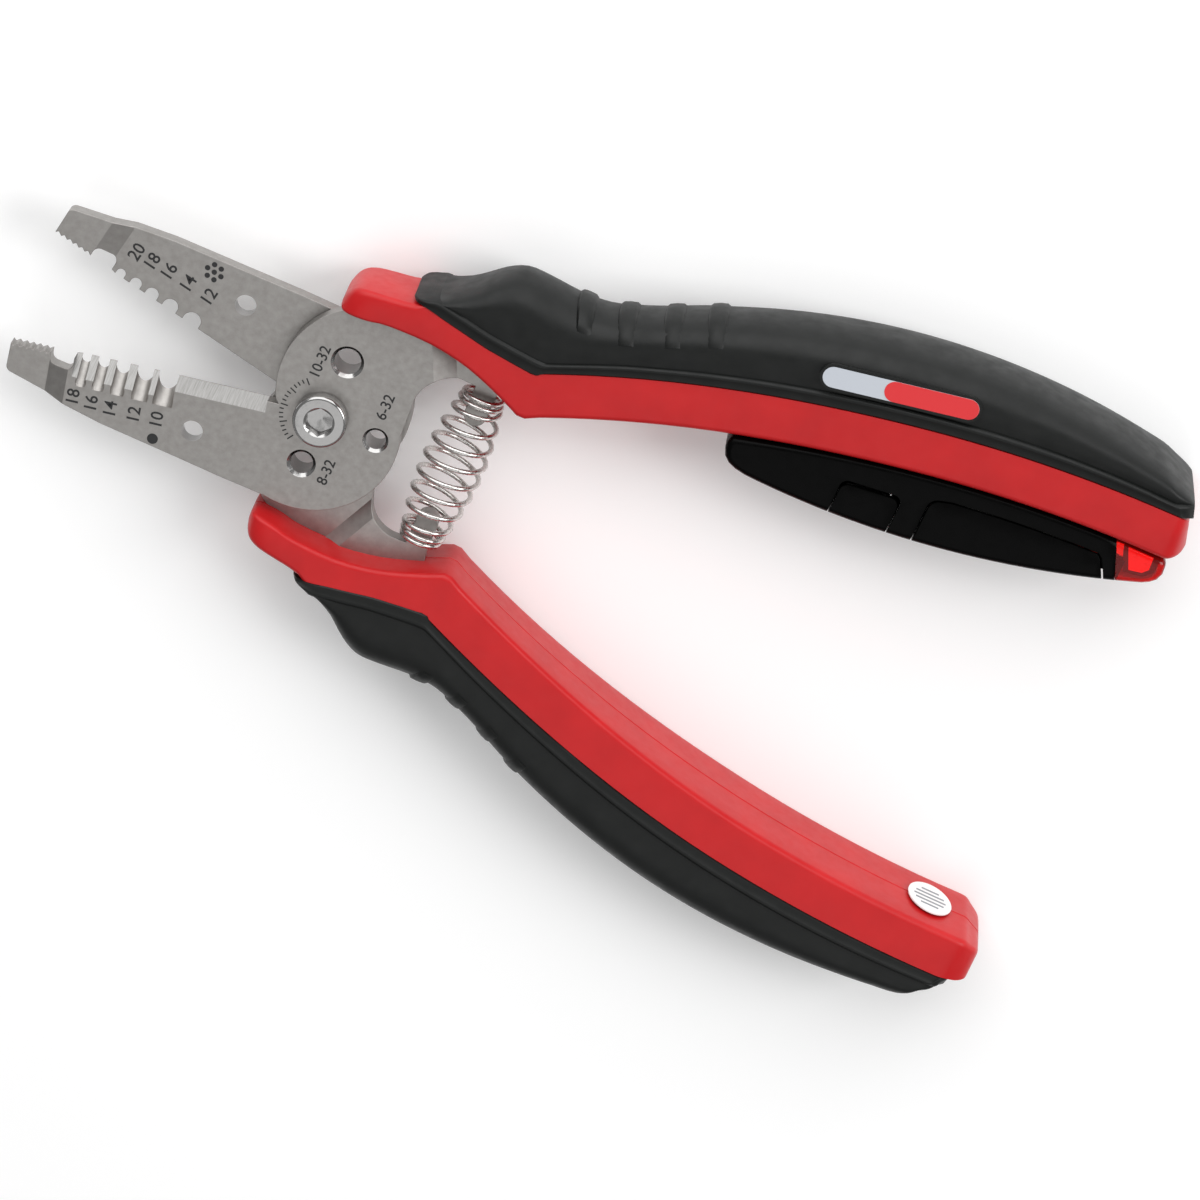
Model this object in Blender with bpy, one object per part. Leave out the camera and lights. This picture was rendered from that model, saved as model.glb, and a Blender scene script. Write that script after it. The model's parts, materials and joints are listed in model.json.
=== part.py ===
"""Wire stripper with a live-wire detector in its upper handle, lying on its back with its jaws open.

The pivot axis is the local origin of every shape: +X runs from the jaws to the handles, +Y towards
the upper handle and +Z out of the front blade. All dimensions are in millimetres until a point
becomes a vertex.
"""

from math import asin, cos, pi, radians, sin, sqrt

import bmesh
import bpy
from mathutils import Matrix, Vector

MM = 0.001

# Where the pivot stands in the world, so that the whole tool is centred over the origin.
PIVOT_X = -39.38
PIVOT_Y = 0.0
MID_HEIGHT = 9.3  # height of the plane in which the two blades meet

# Blades
OPEN_HALF = 11.25  # each half is swung this many degrees away from shut
PLATE = 2.6
BLADE_GAP = 0.15  # from the middle plane to each blade
TOOTH_TIP = 0.5  # how far teeth and cutting edges pass the middle line when the jaws are shut
EDGE_FLAT = 0.25  # thickness left along a ground edge
NOTCH_GRIND = 3.3  # drop of the ground face behind the notches
CUTTER_GRIND = 1.9  # drop of the ground face behind the cutting edge
SOLID_NOTCHES = ((-36.9, 0.62), (-34.2, 0.74), (-31.2, 0.90), (-27.7, 1.10), (-24.1, 1.35))
STRANDED_NOTCHES = ((-37.0, 0.72), (-34.3, 0.88), (-31.4, 1.02), (-28.1, 1.20), (-24.2, 1.40))
NOSE_TIP = -48.6
NOSE_HEEL = -42.3
RECESS_END = -38.5
CUTTER_START = -22.6
SERRATIONS = 6
SERRATION_DEPTH = 0.35
LOOPING_HOLE = ((-18.9, -7.0), 1.65)  # in the shut jaw
SCREW_HOLES = (((0.3, 9.8), 2.05), ((0.0, -8.3), 1.75), ((8.9, 0.0), 1.55))
PIVOT_HOLE_RADIUS = 3.0
TANG_STEP_ANGLE = 25.0  # direction in which the tang steps to the middle plane
TANG_STEP_START = 15.2
TANG_STEP_END = 17.4
TAB_X = 21.2
TAB_HALF_WIDTH = 1.75
TAB_TIP_Y = 7.9

# Pivot
SHANK_RADIUS = 2.6
HEAD_RADIUS = 4.15
HEAD_HEIGHT = 2.3
SOCKET_ACROSS_FLATS = 4.0
NUT_HEIGHT = 2.6
NUT_ACROSS_FLATS = 8.0

# Handles. The inner edge, the colour border and the outer edge are arcs in the plane of the tool.
INNER_RADIUS = 221.6
INNER_TOP = (122.0, 35.1)
RED_BAND = 7.3
OUTER_RADIUS = 118.0
OUTER_TOP = (97.0, 51.9)
ARC_START = 31.0
ARC_END = 122.5
ARC_STATIONS = 13
SLIM_HALF_DEPTH = 6.8
FULL_HALF_DEPTH = 8.8
DEEPENS_FROM = 31.0
DEEPENS_TO = 85.0
GRIP_PROUD = 0.5
SEAM = 0.3  # clearance between neighbouring pieces
TONGUE = 5.0
TONGUE_HALF_DEPTH = 4.2
TANG_LENGTH = 68.0

# Detector
POD_HALF_DEPTH = 7.1
POD_WALL = 1.0
POD_START = 57.0
POD_END = 118.8
POD_LOW = (69.0, 19.9)
POD_BELLY_RADIUS = 150.5
BUTTON_SPAN = (75.3, 84.3)
BUTTON_HEIGHT = 5.6
BOSS_HALF = 1.2
BOSS_HEIGHT = 2.6
DOOR_SPAN = (88.5, 117.2)
DOOR_CLEAR = 3.6  # from the handle to the top edge of the door
CHASSIS_THICKNESS = 0.8
CELL_RADIUS = 5.8
CELL_HEIGHT = 5.4
CELL_DROP = 1.95  # from the handle to the top of a cell
CELLS_X = (95.2, 107.4)
CONTACT = 0.3
ANTENNA_SPAN = (64.5, 80.0)
ANTENNA_DROP = 2.0
BOARD_SPAN = (63.5, 87.5)
BOARD_DROP = 3.0
BOARD_THICKNESS = 0.8
SWITCH_HALF = 2.2
BUZZER_X = 69.4
LENS_END = 126.3
LED_HEIGHT = 32.0
LED_RADIUS = 1.1

# Badge and label
BADGE_CENTRE = (76.9, 43.0)
BADGE_TILT = 10.9
BADGE_LENGTH = 24.6
BADGE_WIDTH = 4.1
BADGE_THICKNESS = 0.5
LABEL_X = 117.4
LABEL_HALF_LENGTH = 3.75
LABEL_HALF_WIDTH = 4.8
LABEL_THICKNESS = 0.25

# Spring
SPRING_Y = 12.9
SPRING_END_RADIUS = 2.95
SPRING_MID_RADIUS = 4.7
SPRING_WIRE = 0.45
SPRING_TURNS = 11.5
SPRING_CLOSED_TURNS = 2.0


def clear_scene():
    for existing in list(bpy.data.objects):
        bpy.data.objects.remove(existing, do_unlink=True)


def material(name, colour, roughness, metallic=0.0, transmission=0.0):
    made = bpy.data.materials.new(name)
    made.use_nodes = True
    shader = made.node_tree.nodes["Principled BSDF"]
    shader.inputs["Base Color"].default_value = (*colour, 1.0)
    shader.inputs["Roughness"].default_value = roughness
    shader.inputs["Metallic"].default_value = metallic
    shader.inputs["Transmission Weight"].default_value = transmission
    made.diffuse_color = (*colour, 1.0)
    return made


def empty(name, parent=None):
    made = bpy.data.objects.new(name, None)
    bpy.context.scene.collection.objects.link(made)
    made.parent = parent
    return made


def object_from(name, mesh_builder, paint, parent):
    mesh = bpy.data.meshes.new(name)
    bmesh.ops.recalc_face_normals(mesh_builder, faces=mesh_builder.faces[:])
    mesh_builder.to_mesh(mesh)
    mesh_builder.free()
    made = bpy.data.objects.new(name, mesh)
    bpy.context.scene.collection.objects.link(made)
    made.parent = parent
    if paint:
        made.data.materials.append(paint)
    return made


def helper(made):
    """Marks an object as a cutter or an addition that only a Boolean reads."""
    made.hide_render = True
    made.display_type = "WIRE"
    return made


def boolean(target, other, operation="DIFFERENCE"):
    modifier = target.modifiers.new(other.name, "BOOLEAN")
    modifier.operation = operation
    modifier.object = helper(other)


def shade_round(target, angle=35.0):
    for face in target.data.polygons:
        face.use_smooth = True
    target.data.set_sharp_from_angle(angle=radians(angle))


def loft(name, rings, paint, parent):
    """A closed solid through rings of equally many points, in millimetres."""
    builder = bmesh.new()
    layers = [[builder.verts.new(Vector(point) * MM) for point in ring] for ring in rings]
    count = len(rings[0])
    for first, second in zip(layers, layers[1:]):
        for index in range(count):
            following = (index + 1) % count
            builder.faces.new((first[index], first[following], second[following], second[index]))
    builder.faces.new(layers[0])
    builder.faces.new(layers[-1])
    return object_from(name, builder, paint, parent)


def slab(name, outline, low, high, paint, parent):
    """The outline in X and Y, extruded from low to high along Z."""
    return loft(name, [[(x, y, z) for x, y in outline] for z in (low, high)], paint, parent)


def block(name, low, high, paint, parent):
    corners = ((low[0], low[1]), (high[0], low[1]), (high[0], high[1]), (low[0], high[1]))
    return slab(name, corners, low[2], high[2], paint, parent)


def circle(centre, radius, count, start=0.0, end=360.0):
    """Points along a circle, or along the stretch of it from start to end in degrees."""
    whole = abs(end - start) >= 360.0
    steps = count if whole else count - 1
    return [
        (
            centre[0] + radius * cos(radians(start + (end - start) * step / steps)),
            centre[1] + radius * sin(radians(start + (end - start) * step / steps)),
        )
        for step in range(count)
    ]


def turned_about_z(name, centre, profile, paint, parent, count=32):
    """A round solid along Z through (radius, height) pairs."""
    rings = [[(x, y, height) for x, y in circle(centre, radius, count)] for radius, height in profile]
    return loft(name, rings, paint, parent)


def turned(points, degrees_turned):
    angle = radians(degrees_turned)
    return [(x * cos(angle) - y * sin(angle), x * sin(angle) + y * cos(angle)) for x, y in points]


# Handle curves, for the upper handle. The lower handle is its mirror image in Y.


def inner_edge(x):
    return INNER_TOP[1] - INNER_RADIUS + sqrt(INNER_RADIUS**2 - (x - INNER_TOP[0]) ** 2)


def outer_edge(x):
    return OUTER_TOP[1] - OUTER_RADIUS + sqrt(OUTER_RADIUS**2 - (x - OUTER_TOP[0]) ** 2)


def outward(x):
    """Unit direction away from the inner edge above x, in the plane of the tool."""
    slope = asin((x - INNER_TOP[0]) / INNER_RADIUS)
    return sin(slope), cos(slope)


def above_inner(x, distance):
    side, up = outward(x)
    return x + side * distance, inner_edge(x) + up * distance


def half_depth(x):
    share = min(max((x - DEEPENS_FROM) / (DEEPENS_TO - DEEPENS_FROM), 0.0), 1.0)
    return SLIM_HALF_DEPTH + (FULL_HALF_DEPTH - SLIM_HALF_DEPTH) * share * share * (3 - 2 * share)


def arc_places():
    step = (ARC_END - ARC_START) / (ARC_STATIONS - 1)
    return [ARC_START + step * index for index in range(ARC_STATIONS)]


CORE_FRONT = (  # inner and border points ahead of the long arcs, and the half depth there
    ((-4.5, 17.4), (-4.4, 19.6), 4.6),
    ((-3.2, 17.8), (-2.6, 21.2), 6.0),
    ((3.6, 18.9), (4.6, 23.2), 6.6),
    ((10.6, 18.9), (10.8, 24.6), SLIM_HALF_DEPTH),
    ((17.0, 17.8), (18.0, 23.4), SLIM_HALF_DEPTH),
    ((22.6, 15.8), (23.4, 21.7), SLIM_HALF_DEPTH),
    ((26.0, 14.4), (25.8, 21.3), SLIM_HALF_DEPTH),
    ((28.2, 14.3), (27.2, 21.5), SLIM_HALF_DEPTH),
)
GRIP_FRONT = (  # border and outer points ahead of the long arcs
    ((5.6, 24.0), (6.0, 24.9)),
    ((10.6, 25.0), (9.6, 27.0)),
    ((14.6, 24.6), (13.0, 30.0)),
    ((18.2, 23.8), (16.2, 32.9)),
    ((21.2, 22.8), (19.2, 34.5)),
    ((24.0, 22.0), (23.0, 34.4)),
    ((26.6, 21.8), (28.2, 34.2)),
)


def core_stations():
    stations = [(Vector(inner), Vector(border), depth) for inner, border, depth in CORE_FRONT]
    for x in arc_places():
        inner = Vector((x, inner_edge(x)))
        stations.append((inner, Vector(above_inner(x, RED_BAND)), half_depth(x)))
    stations.append((Vector((125.0, 35.6)), Vector((125.0, 42.1)), 8.3))
    stations.append((Vector((126.3, 37.0)), Vector((126.0, 41.0)), 7.0))
    return stations


def grip_stations():
    stations = [(Vector(border), Vector(outer), SLIM_HALF_DEPTH) for border, outer in GRIP_FRONT]
    for x in arc_places():
        share = (x - ARC_START) / (ARC_END - ARC_START)
        outer_x = 33.5 + share * (117.5 - 33.5)
        border = Vector(above_inner(x, RED_BAND + SEAM))
        stations.append((border, Vector((outer_x, outer_edge(outer_x))), half_depth(x)))
    stations.append((Vector((124.3, 42.6)), Vector((120.6, 48.6)), 8.5))
    stations.append((Vector((126.4, 42.7)), Vector((124.6, 44.6)), 7.6))
    return stations


def handle_ring(near, far, section, side):
    """One cross-section of a handle piece: section holds (share of the way across, z) pairs."""
    ring = []
    for share, z in section:
        place = near + (far - near) * share
        ring.append((place.x, place.y * side, z))
    return ring


def core_section(depth):
    corner = 0.14
    drop = 0.9
    return (
        (0.0, depth - drop), (corner, depth), (1.0, depth),
        (1.0, -depth), (corner, -depth), (0.0, drop - depth),
    )  # fmt: skip


def grip_section(depth):
    proud = depth + GRIP_PROUD
    return (
        (0.0, depth - 0.2), (0.06, proud), (0.62, proud), (0.84, proud * 0.84), (0.96, proud * 0.5),
        (1.0, 0.0),
        (0.96, -proud * 0.5), (0.84, -proud * 0.84), (0.62, -proud), (0.06, -proud), (0.0, 0.2 - depth),
    )  # fmt: skip


def tongue_piece(name, clearance, parent, side):
    """The rib of the core that the grip is moulded round, grown by clearance to cut its slot."""
    depth = TONGUE_HALF_DEPTH + clearance
    section = ((0.0, depth), (1.0, depth), (1.0, -depth), (0.0, -depth))
    rings = []
    for x in arc_places()[:-1]:
        near = Vector(above_inner(x, RED_BAND - 1.0))
        far = Vector(above_inner(x, RED_BAND + TONGUE + clearance))
        rings.append(handle_ring(near, far, section, side))
    if clearance:
        for index, shift in ((0, -clearance), (-1, clearance)):
            rings[index] = [(x + shift, y, z) for x, y, z in rings[index]]
    return loft(name, rings, None, parent)


def tang_rise(x):
    """Lower and upper edge of the tang inside the handle, where the long arcs run."""
    return above_inner(x, 1.9), above_inner(x, 5.6)


def tang_cutters(name, parent, side, upper_blade):
    """Slots for the tang: open to the inner face at the front, a closed tunnel behind the elbow."""
    facing = 1 if upper_blade else -1
    middle = PLATE / 2 + SEAM
    high = BLADE_GAP + PLATE + SEAM
    mouth = ((-8.0, 8.0), (-8.0, 19.4), (-2.6, 20.0), (5.0, 21.8), (11.0, 23.1), (17.0, 22.0))
    mouth += ((17.0, 8.0),)
    throat = ((16.0, 8.0), (16.0, 22.2), (24.6, 19.9), (28.5, 19.8), (28.5, 16.4), (24.3, 16.2))
    throat += ((24.3, 8.0),)
    lows = sorted((-middle * facing, high * facing))
    front = slab(name + "_mouth", [(x, y * side) for x, y in mouth], *lows, None, parent)
    throat_slab = slab(
        name + "_throat", [(x, y * side) for x, y in throat], -middle, middle, None, parent
    )
    rings = []
    for x in (27.8, 38.0, 48.0, 58.0, TANG_LENGTH + SEAM):
        near, far = (Vector(above_inner(x, rise)) for rise in (1.6, 5.95))
        section = ((0.0, middle), (1.0, middle), (1.0, -middle), (0.0, -middle))
        rings.append(handle_ring(near, far, section, side))
    return front, throat_slab, loft(name + "_tunnel", rings, None, parent)


def handle_core(name, paint, parent, side):
    rings = [handle_ring(*station[:2], core_section(station[2]), side) for station in core_stations()]
    core = loft(name, rings, paint, parent)
    boolean(core, tongue_piece(name + "_tongue", 0.0, parent, side), "UNION")
    for cutter in tang_cutters(name, parent, side, side > 0):
        boolean(core, cutter)
    return core


def handle_grip(name, paint, parent, side):
    rings = [handle_ring(*station[:2], grip_section(station[2]), side) for station in grip_stations()]
    grip = loft(name, rings, paint, parent)
    boolean(grip, tongue_piece(name + "_slot", SEAM, parent, side))
    shade_round(grip, 50.0)
    return grip


# Blades. Jaw outlines are drawn shut, cutting side up, then swung open.


def jaw_outline(notches):
    """The lower jaw from the heel of its cutting edge round the nose to its outer edge."""
    points = [(-6.8, TOOTH_TIP), (CUTTER_START, TOOTH_TIP)]
    for x, radius in reversed(notches):
        points.append((x + radius, TOOTH_TIP))
        points += circle((x, 0.0), radius, 7, 360.0, 180.0)
        points.append((x - radius, TOOTH_TIP))
    points += [(RECESS_END, 0.2), (RECESS_END - 0.3, -1.4), (RECESS_END - 1.0, -1.9)]
    points += [(NOSE_HEEL + 0.9, -1.9), (NOSE_HEEL, -1.2)]
    pitch = (NOSE_HEEL - NOSE_TIP) / SERRATIONS
    for tooth in range(SERRATIONS):
        points.append((NOSE_HEEL - pitch * tooth, -SEAM / 2))
        points.append((NOSE_HEEL - pitch * (tooth + 0.6), -SEAM / 2 - SERRATION_DEPTH))
    points += [(NOSE_TIP, -SEAM / 2), (NOSE_TIP - 0.1, -4.0), (-47.9, -4.9), (-42.0, -6.7)]
    points += [(-33.0, -9.2), (-21.0, -11.7), (-13.0, -13.4)]
    return points


def blade_outline(notches):
    """Front blade: jaw at the lower left, disc round the pivot, tang at the upper right."""
    outline = turned(jaw_outline(notches), OPEN_HALF)
    outline += circle((-1.0, -2.0), 13.8, 13, -100.0, 18.0)
    outline += circle((17.6, 8.3), 5.8, 7, 190.0, 96.0)
    tab_right = TAB_X + TAB_HALF_WIDTH
    outline += [(TAB_X - TAB_HALF_WIDTH, 14.0)]
    outline += circle((TAB_X, TAB_TIP_Y + TAB_HALF_WIDTH), TAB_HALF_WIDTH, 5, 180.0, 360.0)
    outline += [(tab_right, 14.2), (tab_right + 0.6, 16.6), (28.4, 16.7)]
    outline += [tang_rise(x)[0] for x in (31.0, 42.0, 54.0, TANG_LENGTH)]
    outline += [tang_rise(x)[1] for x in (TANG_LENGTH, 54.0, 42.0, 31.0)]
    outline += [(28.3, 19.5), (24.5, 19.5), (17.0, 21.6), (11.0, 22.6), (5.0, 21.3), (-2.4, 19.6)]
    outline += circle((5.3, 6.0), 14.2, 8, 122.0, 206.0)
    return outline


def split(builder, point, normal):
    geometry = builder.verts[:] + builder.edges[:] + builder.faces[:]
    bmesh.ops.bisect_plane(builder, geom=geometry, plane_co=Vector(point) * MM, plane_no=normal)


def stepped_to_middle(x, y):
    """Share of the step towards the middle plane: the nose and the tang both lie in it."""
    across = x * cos(radians(TANG_STEP_ANGLE)) + y * sin(radians(TANG_STEP_ANGLE))
    tang = (across - TANG_STEP_START) / (TANG_STEP_END - TANG_STEP_START)
    along_jaw = x * cos(radians(OPEN_HALF)) + y * sin(radians(OPEN_HALF))
    nose = (RECESS_END - 0.6 - along_jaw) / (RECESS_END - 0.6 - NOSE_HEEL)
    return min(max(tang, nose, 0.0), 1.0)


def blade(name, notches, paint, parent, facing):
    """A blade with its front at +Z for facing 1. The rear blade, facing -1, is turned over in Y and Z."""
    builder = bmesh.new()
    low, high = BLADE_GAP, BLADE_GAP + PLATE
    floor_ring = [builder.verts.new(Vector((x, y, low)) * MM) for x, y in blade_outline(notches)]
    floor = builder.faces.new(floor_ring)
    raised = bmesh.ops.extrude_face_region(builder, geom=[floor])
    top = [part for part in raised["geom"] if isinstance(part, bmesh.types.BMVert)]
    bmesh.ops.translate(builder, verts=top, vec=(0.0, 0.0, (high - low) * MM))
    jaw = Vector((cos(radians(OPEN_HALF)), sin(radians(OPEN_HALF)), 0.0))
    tang = Vector((cos(radians(TANG_STEP_ANGLE)), sin(radians(TANG_STEP_ANGLE)), 0.0))
    for direction, distance in (
        (jaw, NOSE_HEEL), (jaw, RECESS_END - 0.6), (tang, TANG_STEP_START), (tang, TANG_STEP_END),
    ):  # fmt: skip
        split(builder, direction * distance, direction)
    for vertex in builder.verts:
        share = stepped_to_middle(vertex.co.x / MM, vertex.co.y / MM)
        vertex.co.z -= share * (low + PLATE / 2) * MM
    bmesh.ops.triangulate(builder, faces=builder.faces[:])
    if facing < 0:
        bmesh.ops.scale(builder, vec=(1.0, -1.0, -1.0), verts=builder.verts[:])
    made = object_from(name, builder, paint, parent)
    for cutter in blade_cutters(name, notches, parent):
        if facing < 0:
            cutter.rotation_euler = (pi, 0.0, 0.0)
        boolean(made, cutter)
    return made


def grind_cutter(name, x_from, x_to, drop, parent):
    """What is ground away in front of an edge: the face falls by drop across the plate."""
    low = BLADE_GAP + EDGE_FLAT
    high = BLADE_GAP + PLATE
    fall = drop / (high - low)
    section = ((TOOTH_TIP + 0.01, low), (TOOTH_TIP - drop - fall, high + 1.0))
    section += ((4.0, high + 1.0), (4.0, low))
    rings = []
    for x in (x_from, x_to):
        ring = turned([(x, y) for y, _ in section], OPEN_HALF)
        rings.append([(*place, z) for place, (_, z) in zip(ring, section)])
    return loft(name, rings, None, parent)


def groove_cutter(name, x, radius, parent):
    """The half-round channel that runs from a notch down the ground face."""
    fall = NOTCH_GRIND / (PLATE - EDGE_FLAT)
    along = Vector((0.0, -fall, 1.0)).normalized()
    start = Vector((x, 0.25, BLADE_GAP)) - along * 1.2
    end = start + along * 6.4
    across = Vector((1.0, 0.0, 0.0))
    up = across.cross(along)
    turn = Matrix.Rotation(radians(OPEN_HALF), 3, "Z")
    rings = []
    for centre in (start, end):
        ring = circle((0.0, 0.0), radius, 14)
        rings.append([turn @ (centre + across * a + up * b) for a, b in ring])
    return loft(name, rings, None, parent)


def blade_cutters(name, notches, parent):
    cutters = [grind_cutter(name + "_notch_grind", -38.2, CUTTER_START, NOTCH_GRIND, parent)]
    cutters.append(grind_cutter(name + "_cutter_grind", CUTTER_START - 0.5, -9.0, CUTTER_GRIND, parent))
    if notches is SOLID_NOTCHES:
        for number, (x, radius) in enumerate(notches):
            cutters.append(groove_cutter(f"{name}_groove_{number}", x, radius + 0.1, parent))
    looping_centre = turned([LOOPING_HOLE[0]], OPEN_HALF)[0]
    holes = [((0.0, 0.0), PIVOT_HOLE_RADIUS), (looping_centre, LOOPING_HOLE[1])]
    if notches is SOLID_NOTCHES:
        holes += SCREW_HOLES
    else:
        holes += [((x, -y), radius + 0.15) for (x, y), radius in SCREW_HOLES]
    for number, (centre, radius) in enumerate(holes):
        profile = ((radius, -3.0), (radius, 6.0))
        cutters.append(turned_about_z(f"{name}_hole_{number}", centre, profile, None, parent, 20))
    return cutters


def pivot_screw(paint, parent):
    under_head = BLADE_GAP + PLATE + SEAM
    face = under_head + HEAD_HEIGHT
    end = -(BLADE_GAP + PLATE + SEAM + NUT_HEIGHT) - 0.6
    profile = (
        (SHANK_RADIUS - 0.4, end), (SHANK_RADIUS, end + 0.4), (SHANK_RADIUS, under_head - 0.001),
        (HEAD_RADIUS, under_head), (HEAD_RADIUS, face - 0.5), (HEAD_RADIUS - 0.5, face),
    )  # fmt: skip
    screw = turned_about_z("pivot_screw", (0.0, 0.0), profile, paint, parent)
    corner = SOCKET_ACROSS_FLATS / sqrt(3.0)
    socket = ((corner, face - 1.8), (corner, face + 1.0))
    boolean(screw, turned_about_z("socket_cutter", (0.0, 0.0), socket, None, parent, 6))
    shade_round(screw)
    return screw


def pivot_nut(paint, parent):
    top = -(BLADE_GAP + PLATE + SEAM)
    corner = NUT_ACROSS_FLATS / sqrt(3.0)
    profile = ((corner, top - NUT_HEIGHT), (corner, top))
    nut = turned_about_z("pivot_nut", (0.0, 0.0), profile, paint, parent, 6)
    bore = ((SHANK_RADIUS + SEAM, top - NUT_HEIGHT - 1.0), (SHANK_RADIUS + SEAM, top + 1.0))
    boolean(nut, turned_about_z("nut_bore", (0.0, 0.0), bore, None, parent, 24))
    return nut


def spring_radius(share):
    """Barrel shape: narrow where the end turns lie close, widest half way."""
    return SPRING_END_RADIUS + (SPRING_MID_RADIUS - SPRING_END_RADIUS) * sin(pi * share) ** 0.9


def spring_height(turn):
    """Distance along the spring after this many turns: close turns at each end, open ones between."""
    close_pitch = 2 * SPRING_WIRE + 0.12
    open_turns = SPRING_TURNS - 2 * SPRING_CLOSED_TURNS
    open_length = 2 * SPRING_Y - 2 * SPRING_CLOSED_TURNS * close_pitch
    first = min(turn, SPRING_CLOSED_TURNS) * close_pitch
    middle = min(max(turn - SPRING_CLOSED_TURNS, 0.0), open_turns) * open_length / open_turns
    last = max(turn - SPRING_CLOSED_TURNS - open_turns, 0.0) * close_pitch
    return first + middle + last


def return_spring(paint, parent):
    curve = bpy.data.curves.new("return_spring", "CURVE")
    curve.dimensions = "3D"
    curve.bevel_depth = SPRING_WIRE * MM
    curve.bevel_resolution = 0
    curve.use_fill_caps = True
    steps = int(SPRING_TURNS * 14)
    wire = curve.splines.new("POLY")
    wire.points.add(steps)
    for step in range(steps + 1):
        turn = SPRING_TURNS * step / steps
        height = spring_height(turn)
        radius = spring_radius(height / (2 * SPRING_Y))
        place = (
            TAB_X + radius * cos(2 * pi * turn),
            SPRING_Y - height,
            radius * sin(2 * pi * turn),
        )
        wire.points[step].co = (*(Vector(place) * MM), 1.0)
    made = bpy.data.objects.new("return_spring", curve)
    bpy.context.scene.collection.objects.link(made)
    made.parent = parent
    made.data.materials.append(paint)
    return made


def badge(paint, parent):
    """A pill that follows the border of the upper grip and lies on its front."""
    straight = (BADGE_LENGTH - BADGE_WIDTH) / 2
    outline = circle((straight, 0.0), BADGE_WIDTH / 2, 9, -90.0, 90.0)
    outline += circle((-straight, 0.0), BADGE_WIDTH / 2, 9, 90.0, 270.0)
    centre_x, centre_y = BADGE_CENTRE
    placed = [(x + centre_x, y + centre_y) for x, y in turned(outline, BADGE_TILT)]
    rings = []
    for lift in (SEAM, SEAM + BADGE_THICKNESS):
        rings.append([(x, y, half_depth(x) + GRIP_PROUD + lift) for x, y in placed])
    return loft("handle_badge", rings, paint, parent)


def oval_label(paint, parent):
    """Stuck to the inner face of the lower handle, near its end."""
    side, up = outward(LABEL_X)
    along = Vector((up, side, 0.0))
    into = Vector((-side, up, 0.0))
    rings = []
    for lift in (SEAM, SEAM + LABEL_THICKNESS):
        ring = []
        for a, b in circle((0.0, 0.0), 1.0, 28):
            place = Vector((LABEL_X, -inner_edge(LABEL_X), 0.0))
            place += along * (a * LABEL_HALF_LENGTH) + into * lift
            ring.append((place.x, place.y, b * LABEL_HALF_WIDTH))
        rings.append(ring)
    return loft("oval_label", rings, paint, parent)


# Detector, on the inner side of the upper handle.


def pod_bottom(x):
    return POD_LOW[1] + POD_BELLY_RADIUS - sqrt(POD_BELLY_RADIUS**2 - (x - POD_LOW[0]) ** 2)


def pod_places(start, end, count):
    return [start + (end - start) * index / (count - 1) for index in range(count)]


def pod_ring(x, top, inset, corner=2.0):
    """Rounded box section across the pod at x, inset all round from its outer skin."""
    bottom = pod_bottom(x) + inset
    depth = POD_HALF_DEPTH - inset
    corner = max(corner - inset, 0.6)
    soft = corner * 0.3
    return [
        (x, top, depth), (x, bottom + corner, depth), (x, bottom + soft, depth - soft),
        (x, bottom, depth - corner), (x, bottom, corner - depth), (x, bottom + soft, soft - depth),
        (x, bottom + corner, -depth), (x, top, -depth),
    ]  # fmt: skip


def saddle_ring(x, top):
    """U-shaped section of a cover that wraps the pod's belly and both its sides."""
    outer = pod_ring(x, top, 0.0)
    inner = pod_ring(x, top, POD_WALL)
    return outer + inner[::-1]


def pod_window(name, span, tops, parent):
    """Cuts the whole U of a cover out of the housing."""
    rings = []
    for x, top in zip(span, tops):
        reach = POD_HALF_DEPTH + 1.0
        rings.append([(x, top, reach), (x, 5.0, reach), (x, 5.0, -reach), (x, top, -reach)])
    return loft(name, rings, None, parent)


def button_top(x):
    return pod_bottom(x) + BUTTON_HEIGHT


def door_top(x):
    return inner_edge(x) - DOOR_CLEAR


def detector_housing(paint, parent):
    rings = []
    for back, rise in ((0.0, 3.4), (0.6, 1.6), (2.4, 0.4)):
        x = POD_START + back
        ring = pod_ring(x, inner_edge(x) - SEAM, 0.0)
        low = pod_bottom(x)
        shrink = 1.0 - (2.4 - back) * 0.05
        rings.append([(px, max(py, low + rise), pz * shrink) for px, py, pz in ring])
    for x in pod_places(61.0, POD_END, 12):
        rings.append(pod_ring(x, inner_edge(x) - SEAM, 0.0))
    housing = loft("detector_housing", rings, paint, parent)
    cavity = [pod_ring(x, inner_edge(x) + 2.0, POD_WALL) for x in pod_places(59.4, POD_END + 1.0, 9)]
    boolean(housing, loft("pod_cavity", cavity, None, parent))
    gap = SEAM
    button = (BUTTON_SPAN[0] - gap, BUTTON_SPAN[1] + gap)
    tops = [button_top(x) + 1.0 for x in button]
    boolean(housing, pod_window("button_window", button, tops, parent))
    door = (DOOR_SPAN[0] - gap, DOOR_SPAN[1] + gap)
    middle = sum(door) / 2
    places = (door[0], middle, door[1])
    boolean(housing, pod_window("door_window", places, [door_top(x) + gap for x in places], parent))
    return housing


def power_button(paint, parent):
    rings = [saddle_ring(x, button_top(x)) for x in pod_places(*BUTTON_SPAN, 4)]
    button = loft("power_button", rings, paint, parent)
    centre = sum(BUTTON_SPAN) / 2
    floor = pod_bottom(centre)
    low = (centre - BOSS_HALF, floor + POD_WALL / 2, -BOSS_HALF)
    high = (centre + BOSS_HALF, floor + BOSS_HEIGHT, BOSS_HALF)
    boolean(button, block("button_boss", low, high, None, parent), "UNION")
    return button


def battery_door(paint, parent):
    rings = [saddle_ring(x, door_top(x)) for x in pod_places(*DOOR_SPAN, 8)]
    return loft("battery_door", rings, paint, parent)


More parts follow.
